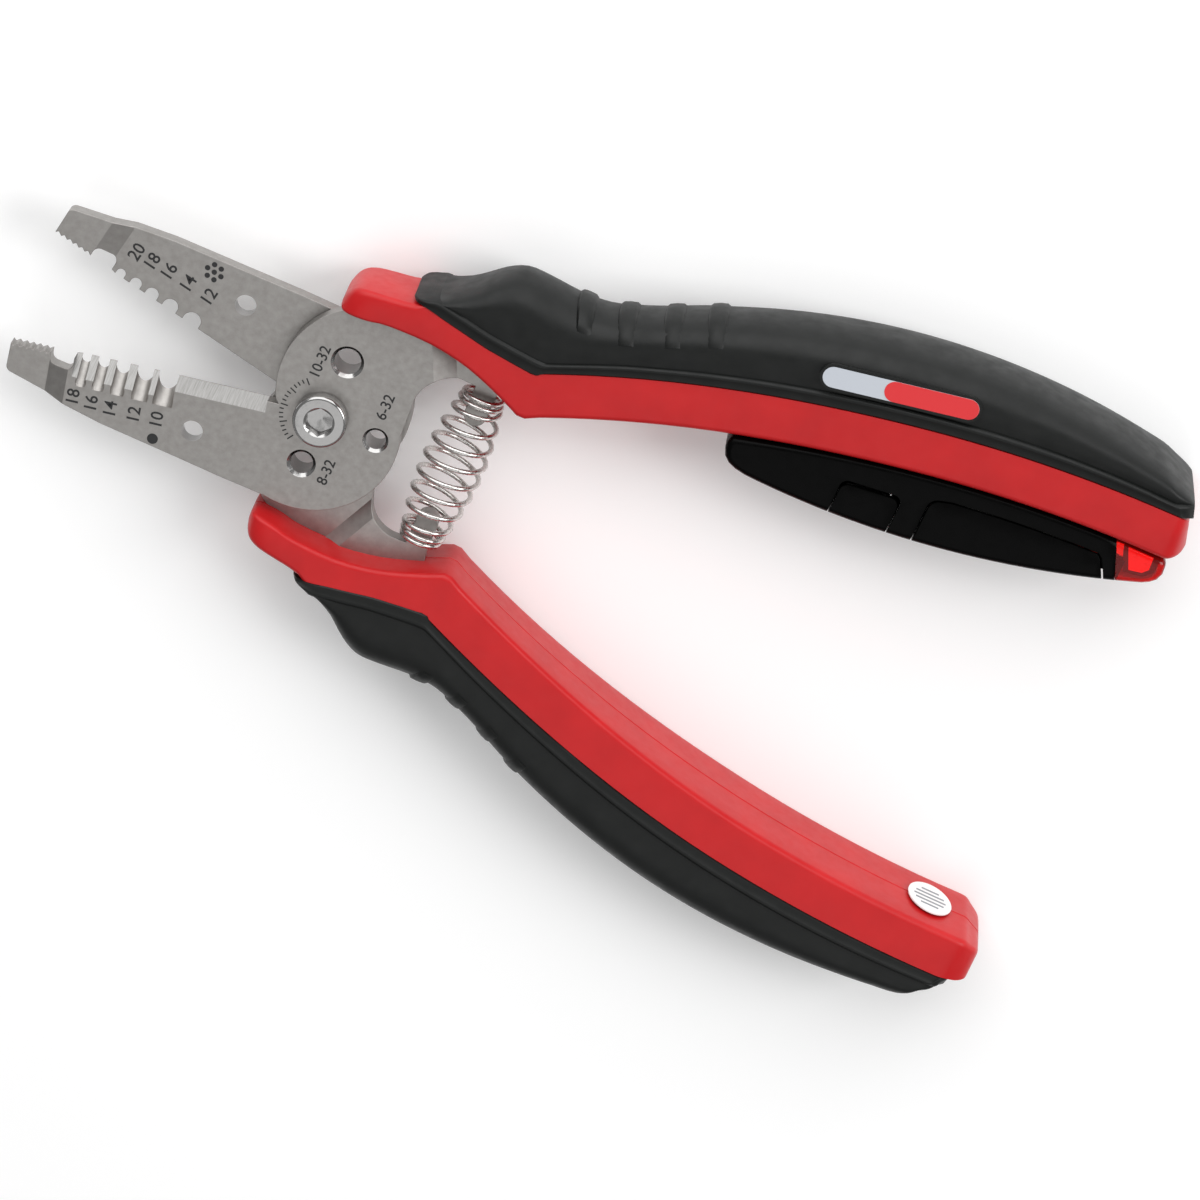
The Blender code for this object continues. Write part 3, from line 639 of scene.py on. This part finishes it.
def make_blade(name, notches, tang_step, holes):
    piece = plate(name, blade_strokes(notches), LAP, LAP + PLATE)
    round_edges(piece, 0.1, 2, 60.0)
    paint(piece, BLASTED)
    drop = LAP + PLATE / 2
    jaw = Vector((-cos(radians(OPEN_HALF)), -sin(radians(OPEN_HALF)), 0.0))
    tang = Vector((cos(radians(TANG_BEND)), sin(radians(TANG_BEND)), 0.0))
    bend_to_middle(piece, jaw, 0.6 - RECESS_END, -NOSE_HEEL, drop)
    bend_to_middle(piece, tang, *tang_step, drop)
    edit(piece)
    all_faces()
    bpy.ops.mesh.vert_connect_nonplanar(angle_limit=radians(0.5))
    leave()
    grind(piece, -38.4, CUTTER_START, 3.3)
    grind(piece, CUTTER_START - 0.4, -8.5, 1.9)
    if notches is SOLID_NOTCHES:
        for x, radius in notches:
            groove(piece, x, radius)
    for centre, radius, chamfer in holes:
        drill(piece, centre, radius, chamfer)
    return piece


def blades():
    looping = turned(-18.9, -7.0, OPEN_HALF)
    screws = (((0.3, 9.8), 2.05, 0.5), ((0.0, -8.3), 1.75, 0.5), ((8.9, 0.0), 1.55, 0.45))
    holes = [(looping, LOOPING_RADIUS, 0.0), *screws]
    front = make_blade("front_blade_steel", SOLID_NOTCHES, FRONT_TANG_STEP, holes)
    join(front, *lower_marks())
    settle(front, "upper_half", "blade_steel", "front_blade", crease=15.0)
    holes = [(looping, LOOPING_RADIUS, 0.0)]
    holes += [((x, -y), radius + 0.15, 0.0) for (x, y), radius, _ in screws]
    rear = make_blade("rear_blade_steel", STRANDED_NOTCHES, REAR_TANG_STEP, holes)
    pick(rear)
    rear.rotation_euler.x = pi
    bpy.ops.object.transform_apply()
    join(rear, *upper_marks())
    settle(rear, "lower_half", "blade_steel", "rear_blade", crease=15.0)


# Handle curves, for the upper handle


def inner_edge(x):
    return INNER_TOP[1] - INNER_RADIUS + sqrt(INNER_RADIUS**2 - (x - INNER_TOP[0]) ** 2)


def outer_edge(x):
    return OUTER_TOP[1] - OUTER_RADIUS + sqrt(OUTER_RADIUS**2 - (x - OUTER_TOP[0]) ** 2)


def above_inner(x, distance):
    slope = asin((x - INNER_TOP[0]) / INNER_RADIUS)
    return x + sin(slope) * distance, inner_edge(x) + cos(slope) * distance


def half_depth(x):
    share = min(max((x - 31.0) / 54.0, 0.0), 1.0)
    return SLIM + (FULL - SLIM) * share * share * (3 - 2 * share)


def core_stations(longer):
    """From the horn over the blade to the butt, which may be longer by so much."""
    horn = [
        station((-4.1, 18.9), (-4.0, 20.2), 3.4), station((-3.9, 18.2), (-3.5, 21.3), 4.7),
        station((-3.3, 17.9), (-2.6, 22.2), 5.6), station((-1.9, 17.9), (-0.9, 22.8), 6.2),
        station((0.6, 18.2), (1.8, 23.2), 6.5), station((3.6, 18.8), (4.6, 23.6), 6.6),
        station((10.6, 18.9), (10.8, 24.8), SLIM), station((17.0, 17.8), (18.0, 23.6), SLIM),
        station((22.6, 15.8), (23.6, 21.9), SLIM), station((26.7, 13.95), (25.9, 21.35), SLIM),
    ]  # fmt: skip
    made = eased(horn, 3) + [station((28.0, 14.0), (27.0, 21.5), SLIM)]
    for step in range(27):
        x = 30.0 + (122.5 - 30.0) * step / 26
        made.append(station((x, inner_edge(x)), above_inner(x, RED_BAND), half_depth(x)))
    butt = [
        made[-1],
        station((123.9, 35.15), (123.1 + 0.3 * longer, 42.3), 8.6),
        station((125.0, 35.7), (123.9 + 0.7 * longer, 42.2), 7.9),
        station((125.8 + 0.3 * longer, 36.5), (124.5 + longer, 41.9), 6.7),
        station((126.2 + 0.4 * longer, 37.4), (124.9 + longer, 41.5), 5.2),
    ]
    return made[:-1] + eased(butt, 4)


GRIP_FRONT = (
    ((5.5, 24.5), (5.7, 24.9), 4.2), ((6.1, 24.4), (6.3, 25.1), 5.9), ((7.3, 24.35), (7.2, 25.4), 6.6),
    ((9.0, 24.1), (8.4, 25.8), SLIM), ((11.2, 23.6), (10.2, 26.7), SLIM),
    ((14.6, 22.95), (13.2, 29.0), SLIM), ((18.2, 22.25), (16.4, 32.2), SLIM),
    ((21.2, 21.9), (19.4, 33.9), SLIM), ((24.0, 21.6), (23.0, 34.0), SLIM),
    ((26.7, 21.45), (28.4, 33.6), SLIM),
)  # fmt: skip
WAIST = ((33.2, 33.9), (37.4, 35.4), (41.4, 37.2))


def grip_stations(trim):
    """From the front of the grip to the butt, slimmer towards it by a share of the trim."""
    made = [station(*row) for row in GRIP_FRONT]
    for step in range(20):
        x = 31.0 + (122.5 - 31.0) * step / 19
        outer_x = 33.2 + (117.5 - 33.2) * step / 19
        outer = WAIST[step] if step < len(WAIST) else (outer_x, outer_edge(outer_x))
        outer = (outer[0], outer[1] - trim * min(step / 4, 1.0) * (0.6 + 0.9 * (step / 19) ** 2))
        made.append(station(above_inner(x, RED_BAND + 0.1), outer, half_depth(x)))
    made += [
        station((123.2, 42.5), (119.9 + 0.4 * trim, 47.5 - 0.6 * trim), 8.6),
        station((124.0, 42.6), (121.7 + 0.9 * trim, 46.2 - 0.2 * trim), 8.1),
        station((124.5 + 0.4 * trim, 42.7), (122.9 + trim, 44.9 + 0.4 * trim), 7.2),
    ]
    return eased(made, 3)


def mirrored_section(half):
    """The section with the front half repeated behind."""
    return [(x, -y) for x, y in half] + [(x, y) for x, y in reversed(half) if y > 0]


CORE_SECTION = [
    (1.0, -1.0), (0.15, -1.0), ((0.15, -0.87), -90.0, 4), (0.02, -0.55), (0.0, -0.03), (0.02, -0.012),
    (0.02, 0.012), (0.0, 0.03), (0.02, 0.55), (0.02, 0.87), ((0.15, 0.87), -90.0, 4), (1.0, 1.0),
]  # fmt: skip
RIM_SECTION = mirrored_section([
    (0.0, 0.94), (0.08, 0.965), (0.5, 0.972), (0.62, 0.992), (0.74, 1.0), (0.86, 0.99), (1.0, 0.94),
])  # fmt: skip
BODY_SECTION = mirrored_section([
    (0.0, 0.925), (0.1, 0.935), (0.25, 0.965), (0.42, 0.98), (0.56, 0.965), (0.68, 0.92), (0.79, 0.835),
    (0.88, 0.70), (0.945, 0.50), (0.985, 0.27), (1.0, 0.0),
])  # fmt: skip
PAD_SECTION = mirrored_section([
    (0.65, 0.82), (0.68, 0.905), (0.73, 0.885), (0.79, 0.835), (0.88, 0.70), (0.945, 0.50), (0.985, 0.27),
    (1.0, 0.0),
])  # fmt: skip
PADS = ((28.0, 31.1), (34.3, 37.3), (40.7, 43.7), (46.6, 49.7))
PAD_LEAN = (21.0, 24.0, 24.0, 22.0)
PAD_RISE = (0.15, 0.65, 0.7, 0.6)
PAD_REACH = 12.2
PAD_CROWN = (
    (0.0, -0.3), (0.06, 0.25), (0.18, 0.55), (0.5, 0.62), (0.82, 0.55), (0.94, 0.25), (1.0, -0.3),
)  # fmt: skip


def handle_core(name, longer):
    """The red core, with its far edges rounded at the horn."""
    rows = core_stations(longer)
    piece = pull(name, CORE_SECTION, rows)
    far = [row[1] for row in rows if row[1].x < 6.4]
    edit(piece)
    bpy.ops.mesh.select_mode(type="EDGE")
    bpy.ops.mesh.select_all(action="DESELECT")
    leave()
    for edge in piece.data.edges:
        ends = [piece.data.vertices[index].co for index in edge.vertices]
        edge.select = all(min((end.xy - place).length for place in far) < 0.01 for end in ends) and (
            ends[0].z * ends[1].z > 0
        )
    bpy.ops.object.mode_set(mode="EDIT")
    bpy.ops.mesh.bevel(offset=1.7, segments=4, clamp_overlap=True)
    leave()
    return paint(piece, RED)


def finger_pad(skin, span, lean, rise):
    """A low cushion across the back of the grip, where the skin runs through these points."""
    rows = []
    first, last = span
    way = Vector((-sin(radians(lean)), cos(radians(lean))))
    for share, lift in PAD_CROWN:
        x = first + (last - first) * share
        before = max((place for place in skin if place.x <= x), key=lambda place: place.x)
        after = min((place for place in skin if place.x > x), key=lambda place: place.x)
        y = before.y + (after.y - before.y) * (x - before.x) / (after.x - before.x)
        far = Vector((x, y)) + way * lift
        rows.append((far - way * PAD_REACH, far, half_depth(x) + rise + lift * 0.8))
    return pull("pad", PAD_SECTION, rows)


def handle_grip(name, trim):
    rim, body = [], []
    for border, outer, depth in grip_stations(trim):
        way = (outer - border).normalized()
        width = min((outer - border).length, RIM)
        rim.append((border, border + way * width, depth + 0.5))
        body.append((border + way * width * 0.72, outer, depth + 0.45))
    rim.append(station((124.8, 43.0), (124.2, 44.6), 6.4))
    piece = pull(name, BODY_SECTION, body)
    band = pull("rim", RIM_SECTION, rim)
    skin = [outer for _, outer, _ in body]
    pads = [finger_pad(skin, *row) for row in zip(PADS, PAD_LEAN, PAD_RISE)]
    return paint(join(piece, band, *pads), BLACK)


def handles():
    core = handle_core("upper_core_red", 0.0)
    grip = handle_grip("upper_grip_rubber", 1.0)
    longer_core = handle_core("longer_core", 2.3)
    fuller_grip = handle_grip("fuller_grip", 0.0)
    lower_core = mirrored(longer_core, "lower_core_red")
    lower_grip = mirrored(fuller_grip, "lower_grip_rubber")
    bpy.data.objects.remove(longer_core)
    bpy.data.objects.remove(fuller_grip)
    settle(core, "upper_half", "handle_red", "upper_handle_core", crease=30.0)
    settle(lower_core, "lower_half", "handle_red", "lower_handle_core", crease=30.0)
    settle(grip, "upper_half", "grip_black", "upper_grip", crease=40.0)
    settle(lower_grip, "lower_half", "grip_black", "lower_grip", crease=40.0)


# Pivot

HEAD_RADIUS = 4.15
HEAD_FACE = LAP + PLATE + 2.6
SHANK_RADIUS = 2.6
SHANK_END = -6.25
SOCKET_FLATS = 4.0
NUT_FLATS = 8.0


def pivot():
    under = LAP + PLATE + 0.02
    head = rod("pivot_screw_steel", HEAD_RADIUS, under, HEAD_FACE, vertices=64)
    round_edges(head, 0.55, 4)
    shank = rod("shank", SHANK_RADIUS, SHANK_END, under + 0.5, vertices=48)
    round_edges(shank, 0.35, 2)
    merged(head, shank)
    paint(head, POLISHED)
    socket = (SOCKET_FLATS / sqrt(3.0), HEAD_FACE - 1.8, HEAD_FACE + 1.0)
    cut(head, rod("socket", *socket, vertices=6, turn=15.0))
    cut(head, cone("drill_point", 0.3, 2.05, HEAD_FACE - 2.3, HEAD_FACE - 1.75))
    cut(head, cone("socket_lead", 1.9, 2.75, HEAD_FACE - 0.35, HEAD_FACE + 0.25))
    settle(head, "upper_half", "screw_steel", "pivot_screw", crease=25.0)
    nut = paint(rod("pivot_nut_steel", NUT_FLATS / sqrt(3.0), -5.65, -2.8, vertices=6), POLISHED)
    crown = cone("crown", 3.9, 6.2, -5.65, -4.2, vertices=64)
    tall = rod("tall", 6.2, -4.2, -2.0, vertices=64)
    cut(nut, merged(crown, tall), "INTERSECT")
    cut(nut, rod("bore", SHANK_RADIUS + 0.25, -7.0, -1.0, vertices=48))
    round_edges(nut, 0.12, 2, 40.0)
    settle(nut, "upper_half", "screw_steel", "pivot_nut", crease=25.0)


# Return spring

WIRE_RADIUS = 0.42
SPRING_X = 21.2
SPRING_Y = 12.9
TURNS = 11.5
CLOSED = 2.0
STEPS = 24


def coil_place(step):
    turn = step / STEPS
    pitch = 2 * WIRE_RADIUS + 0.14
    open_pitch = (2 * SPRING_Y - 2 * CLOSED * pitch) / (TURNS - 2 * CLOSED)
    height = min(turn, CLOSED) * pitch
    height += min(max(turn - CLOSED, 0.0), TURNS - 2 * CLOSED) * open_pitch
    height += max(turn - TURNS + CLOSED, 0.0) * pitch
    radius = 2.95 + 1.75 * max(sin(pi * height / (2 * SPRING_Y)), 0.0) ** 0.9
    angle = 2 * pi * turn
    return Vector((SPRING_X + radius * cos(angle), SPRING_Y - height, radius * sin(angle)))


def return_spring():
    place = coil_place(0)
    bpy.ops.object.select_all(action="DESELECT")
    bpy.ops.mesh.primitive_circle_add(vertices=8, radius=WIRE_RADIUS, fill_type="NGON", location=place)
    piece = bpy.context.object
    piece.name = "return_spring_wire"
    bpy.ops.object.transform_apply()
    edit(piece)
    all_faces()
    for step in range(1, round(TURNS * STEPS) + 1):
        following = coil_place(step)
        bpy.ops.mesh.extrude_region_move(TRANSFORM_OT_translate={"value": following - place})
        bpy.ops.transform.rotate(value=2 * pi / STEPS, orient_axis="Y", center_override=following)
        place = following
    leave()
    face_out(piece)
    paint(piece, WIRE)
    settle(piece, None, "spring_steel", "return_spring", crease=50.0)
    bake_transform(piece)


# Detector pod

BUTTON_ENDS = (75.3, 84.3)
BUTTON_HEIGHT = 5.6
DOOR_ENDS = (88.5, 117.2)
POD_GAP = 0.25
POD_WALL = 1.0


def pod_bottom(x):
    return 170.4 - sqrt(150.5**2 - (x - 69.0) ** 2)


def places(start, end, count):
    return [start + (end - start) * index / (count - 1) for index in range(count)]


def pod_solid(name):
    strokes = [(x, inner_edge(x) - 0.3) for x in places(124.6, 57.4, 26)]
    strokes += [(57.0, 24.0), (57.1, 22.9), (57.6, 21.7), (58.5, 20.9), (59.8, 20.4), (61.5, 20.1)]
    strokes += [(x, pod_bottom(x)) for x in places(63.5, 122.6, 26)]
    strokes += [(123.7, 30.4), (124.5, 31.2), (124.9, 32.4)]
    piece = plate(name, strokes, -POD_HALF_DEPTH, POD_HALF_DEPTH)
    return round_edges(piece, 1.1, 4, 60.0)


def pod_cavity():
    strokes = [(x, inner_edge(x) + 2.0) for x in places(130.0, 58.3, 20)]
    strokes += [(58.3, 23.4), (59.0, 22.2), (60.4, 21.5)]
    strokes += [(x, pod_bottom(x) + POD_WALL) for x in places(63.5, 130.0, 20)]
    return plate("cavity", strokes, POD_WALL - POD_HALF_DEPTH, POD_HALF_DEPTH - POD_WALL)


def button_shape(gap):
    """Outline of the button: open below, with rounded top corners."""
    left, right = BUTTON_ENDS[0] - gap, BUTTON_ENDS[1] + gap
    top = pod_bottom(sum(BUTTON_ENDS) / 2) + BUTTON_HEIGHT + 2.6 * gap
    strokes = [(left, 10.0), (left, top - 1.6), ((left + 1.3, top - 1.6), -90.0, 6)]
    strokes += [(right - 1.3, top + 0.5), ((right - 1.3, top - 0.8), -90.0, 6), (right, 10.0)]
    return plate("button_shape", strokes, -12.0, 12.0)


def door_shape(gap):
    """Outline of the door: open below, with a tongue at its right end behind the housing."""
    left, right = DOOR_ENDS[0] - gap, DOOR_ENDS[1] + gap
    shoulder = inner_edge(left) - 5.4 + gap
    strokes = [(left, 10.0), (left, shoulder), ((left + 1.8, shoulder), -70.0, 6)]
    strokes += [(x, inner_edge(x) - 3.6 + gap) for x in places(91.5, 114.6, 14)]
    end = [(right - 2.0, inner_edge(right) - 4.2 + gap), (right + 0.2, 27.0), (right + 0.2, 10.0)]
    tongue = [(100.0, 12.0), (100.0, 27.0)] + [(x + 0.6, y) for x, y in end[:2]] + [(right + 0.8, 12.0)]
    return merged(plate("door_shape", strokes + end, -12.0, 12.0), plate("tongue", tongue, -11.0, gap))


def pod_side():
    """Everything on the housing's side of the lens seam, with a tongue that reaches under the lens."""
    side = plate("pod_side", [(50.0, 10.0), (126.4, 10.0), (111.9, 45.0), (50.0, 45.0)], -9.0, 9.0)
    tongue = [(60.0, 11.0), (126.6, 11.0), (112.9, 44.0), (60.0, 44.0)]
    return merged(side, plate("tongue", tongue, -8.0, 0.0))


def lens_side():
    """Everything on the lens's side of the seam, with a lip in front of the housing's tongue."""
    side = plate("lens_side", [(140.0, 10.0), (127.05, 10.0), (112.55, 45.0), (140.0, 45.0)], -9.0, 9.0)
    lip = [(139.0, 11.0), (126.03, 11.0), (112.36, 44.0), (139.0, 44.0)]
    return merged(side, plate("lip", lip, 0.04, 8.0))


def pod():
    shell = paint(pod_solid("pod_shell"), POD)
    button = copy_of(shell, "button_cover")
    door = copy_of(shell, "battery_cover")
    lens = copy_of(shell, "lens_cover")
    cut(lens, lens_side(), "INTERSECT")
    cut(shell, pod_side(), "INTERSECT")
    cut(shell, pod_cavity())
    cut(shell, button_shape(POD_GAP))
    cut(shell, door_shape(POD_GAP))
    cut(button, button_shape(0.0), "INTERSECT")
    cut(button, pod_cavity())
    cut(door, door_shape(0.0), "INTERSECT")
    cut(door, pod_cavity())
    for side in (-1, 1):
        stop = box("door_stop", (114.8, 29.05, 5.2 * side - 0.5), (119.0, 32.0, 5.2 * side + 0.5))
        foot = box("stop_foot", (118.1, 29.1, 5.6 * side - 0.8), (118.9, 31.9, 5.6 * side + 0.8))
        join(shell, paint(stop, POD), paint(foot, POD))
    boss = paint(box("boss", (78.6, 20.8, -1.2), (81.0, 22.5, 1.2)), POD)
    join(button, boss)
    for piece in (shell, button, door):
        round_edges(piece, 0.14, 2, 50.0)
    lens.data.materials[0] = LENS
    settle(shell, "upper_half", "pod_black", "detector_housing")
    settle(button, "button", "button_black", "power_button")
    settle(door, "door", "pod_black", "battery_door")
    settle(lens, "upper_half", "lens_red", "indicator_lens")
    # A glowing block inside the lens paints the bright core seen in it, and a dark block round it paints
    # the shade at its edges; both are painted light, and the glowing one is no lamp.
    glow_core_outline = [(119.9, 30.9), (121.9, 31.3), (122.7, 32.2), (122.5, 34.0), (118.4, 34.0)]
    shade_rim_outline = [(119.3, 30.2), (122.3, 30.7), (123.6, 32.0), (123.6, 34.2), (117.6, 34.1)]
    bright = paint(plate("lamp_chamber", glow_core_outline, -6.3, 6.3), PAINTED_GLOW)
    dark = paint(plate("lamp_frame", shade_rim_outline, -6.0, 6.0), PAINTED_SHADE)
    join(dark, bright)
    settle(dark, "upper_half", "lens_red")


# Badge and label


def badge():
    straight = (24.6 - 4.1) / 2
    outline = [(-straight, -2.05), (straight, -2.05), ((straight, 0.0), 180.0, 16)]
    outline += [(-straight, 2.05), ((-straight, 0.0), 180.0, 16)]
    piece = plate("badge_plate", outline, 0.0, 0.55)
    split = -0.9
    right = [(split, -1.6), (straight, -1.6), ((straight, 0.0), 180.0, 14)]
    right += [(split, 1.6), ((split, 0.0), 180.0, 14)]
    field = plate("badge_field", right, 0.5, 0.63)
    left = [(-straight, -1.62), (straight, -1.62), ((straight, 0.0), 180.0, 14), (-straight, 1.62)]
    pale = plate("badge_pale", left + [((-straight, 0.0), 180.0, 14)], 0.5, 0.58)
    paint(piece, BLACK)
    paint(field, SIGNAL)
    paint(pale, SILVER)
    join(piece, field, pale)
    piece.rotation_euler.z = radians(10.9)
    piece.location = (76.9, 43.0, half_depth(76.9) + 0.5)
    pick(piece)
    bpy.ops.object.transform_apply()
    settle(piece, "upper_half", "badge_grey", "handle_badge")


# Marks on the blades


def mark(words, place, size, angle, height):
    """Raised ink: figures centred on a place, read at this angle."""
    bpy.ops.object.select_all(action="DESELECT")
    bpy.ops.object.text_add(location=(*place, height), rotation=(0.0, 0.0, radians(angle)))
    made = bpy.context.object
    made.data.body = words
    made.data.size = size
    made.data.align_x = "CENTER"
    made.data.align_y = "CENTER"
    made.data.extrude = 0.008
    made.data.resolution_u = 3
    made.data.offset = 0.012 * size
    bpy.ops.object.convert(target="MESH")
    made = bpy.context.object
    bpy.ops.object.transform_apply()
    return paint(made, INK)


def dot(place, radius, height):
    """A flat round spot of ink."""
    return paint(rod("dot", radius, height, height + 0.016, place, vertices=20), INK)


def swung(x, y, side):
    """A place on the shut jaw, after the jaw swings open: side 1 is the lower jaw, -1 the upper."""
    return turned(x, y, OPEN_HALF * side)


def lower_marks():
    """Gauge numbers and the dot for solid wire, screw sizes, and a scale of ticks round the screw."""
    top = LAP + PLATE + 0.004
    gauges = (
        ("18", -37.6, -6.0), ("16", -34.7, -6.35), ("14", -31.7, -6.55), ("12", -28.0, -6.55),
        ("10", -24.45, -6.55),
    )  # fmt: skip
    marks = [mark(words, swung(x, y, 1), 2.75, 90 + OPEN_HALF, top) for words, x, y in gauges]
    marks += [mark("10-32", (-3.45, 8.1), 2.35, 90, top), mark("6-32", (8.3, 5.6), 2.35, 90, top)]
    marks.append(mark("8-32", (4.05, -8.0), 2.35, 90, top))
    marks.append(dot(swung(-24.6, -9.7, 1), 0.85, top))
    for step in range(17):
        angle = radians(132.0 + 106.0 * step / 16)
        length = 1.15 if step % 4 == 0 else 0.65
        tick = box("tick", (-length, -0.1, top), (0.0, 0.1, top + 0.016))
        tick.rotation_euler.z = angle
        tick.location = (SCALE_RADIUS * cos(angle), SCALE_RADIUS * sin(angle), 0.0)
        pick(tick)
        bpy.ops.object.transform_apply()
        marks.append(paint(tick, INK))
    return marks


def upper_marks():
    """Gauge numbers of the upper jaw, and seven dots for stranded wire."""
    top = -LAP + 0.004
    gauges = (
        ("20", -36.8, 4.3), ("18", -34.1, 4.4), ("16", -31.2, 4.6), ("14", -27.8, 4.7), ("12", -24.1, 4.8),
    )  # fmt: skip
    marks = [mark(words, swung(x, y, -1), 2.75, 90 - OPEN_HALF, top) for words, x, y in gauges]
    strands = ((-0.6, -1.04), (0.6, -1.04), (-1.2, 0.0), (0.0, 0.0), (1.2, 0.0), (-0.6, 1.04), (0.6, 1.04))
    for x, y in strands:
        marks.append(dot(swung(x - 25.6, y + 8.6, -1), 0.42, top))
    return marks


# Oval label on the inner face of the lower handle


def on_inner_face(piece, x, lift):
    """Lays a flat piece, drawn round the origin, on the lower handle's inner face at x."""
    slope = asin((x - INNER_TOP[0]) / INNER_RADIUS)
    piece.rotation_euler = (-pi / 2, 0.0, slope)
    piece.location = (x - sin(slope) * lift, cos(slope) * lift - inner_edge(x), 0.0)
    pick(piece)
    bpy.ops.object.transform_apply()
    return piece


def disc(name, half_length, half_width, low, high, finish_used):
    made = rod(name, 1.0, low, high, vertices=48)
    made.scale = (half_length, half_width, 1.0)
    pick(made)
    bpy.ops.object.transform_apply()
    return paint(made, finish_used)


def label():
    piece = disc("oval_label_disc", 3.75, 4.8, 0.0, 0.2, WHITE)
    bars = []
    for y, half in ((2.4, 1.5), (1.2, 2.4), (0.0, 2.7), (-1.2, 2.4), (-2.4, 1.5)):
        bars.append(paint(box("bar", (-half, y - 0.22, 0.19), (half, y + 0.22, 0.24)), GREY))
    join(piece, *bars)
    on_inner_face(piece, 117.4, 0.3)
    settle(piece, "lower_half", "label_white", "oval_label")


# Pieces inside the pod keep their shape and take a finish with detail


def refinish(node, made):
    piece = bpy.data.objects[node]
    for holder in piece.material_slots:
        holder.link = "OBJECT"
        holder.material = made


def innards():
    refinish("detector_chassis", bare("chassis_moulding", (0.02, 0.02, 0.022), 0.5, 0.0, 900.0))
    refinish("sensor_antenna", bare("sensor_copper", (0.75, 0.38, 0.18), 0.3, 1.0, 1500.0))
    refinish("circuit_board", bare("board_resist", (0.015, 0.16, 0.055), 0.35, 0.0, 1200.0))
    refinish("tactile_switch", bare("switch_shell", (0.03, 0.03, 0.032), 0.35, 0.0, 1800.0))
    refinish("buzzer", bare("buzzer_shell", (0.018, 0.018, 0.02), 0.4, 0.0, 1500.0))
    nickel = bare("cell_nickel_plate", (0.72, 0.70, 0.66), 0.25, 1.0, 1400.0)
    refinish("battery_cell_front", nickel)
    refinish("battery_cell_rear", nickel)
    brass = bare("contact_brass_strip", (0.80, 0.60, 0.28), 0.28, 1.0, 1600.0)
    refinish("battery_contact_upper", brass)
    refinish("battery_contact_lower", brass)
    lamp = bare("lamp_red", (0.85, 0.02, 0.015), 0.2, 0.0, 900.0)
    glow(lamp, (1.0, 0.05, 0.03), 0.8)
    refinish("indicator_led", lamp)


blades()
handles()
pivot()
return_spring()
pod()
badge()
label()
innards()


# Stage


def camera():
    bpy.ops.object.camera_add(location=PIVOT + Vector((-0.0016, 0.2524, 0.63815)))
    made = bpy.context.object
    made.rotation_euler = Matrix((
        (0.91464, -0.39722, -0.07512),
        (0.39456, 0.83671, 0.37978),
        (-0.088, -0.377, 0.92202),
    )).to_euler()
    made.data.lens = 135.0
    made.data.sensor_width = 36.0
    made.data.clip_start = 0.01
    bpy.context.scene.camera = made


def floor():
    bpy.ops.object.select_all(action="DESELECT")
    bpy.ops.mesh.primitive_plane_add(size=6.0)
    made = bpy.context.object
    made.name = "floor"
    paper = finish("floor", (0.92, 0.92, 0.92), 0.6)
    glow(paper, (1.0, 1.0, 1.0), 0.1)
    paint(made, paper)


def light(name, place, size, power):
    bpy.ops.object.light_add(type="AREA", location=place)
    made = bpy.context.object
    made.name = name
    made.data.size = size
    made.data.energy = power
    made.rotation_euler = (-Vector(place)).to_track_quat("-Z", "Y").to_euler()


camera()
floor()
light("key", (-0.45, 1.15, 0.65), 1.9, 25)
light("fill", (0.12, -0.5, 1.15), 1.0, 2.4)
light("side", (0.8, 0.5, 0.75), 0.6, 7)
world = bpy.data.worlds.new("world")
bpy.context.scene.world = world
bpy.context.scene.view_settings.view_transform = "Standard"
world.use_nodes = True
world.node_tree.nodes["Background"].inputs["Color"].default_value = (1, 1, 1, 1)
world.node_tree.nodes["Background"].inputs["Strength"].default_value = 0.30
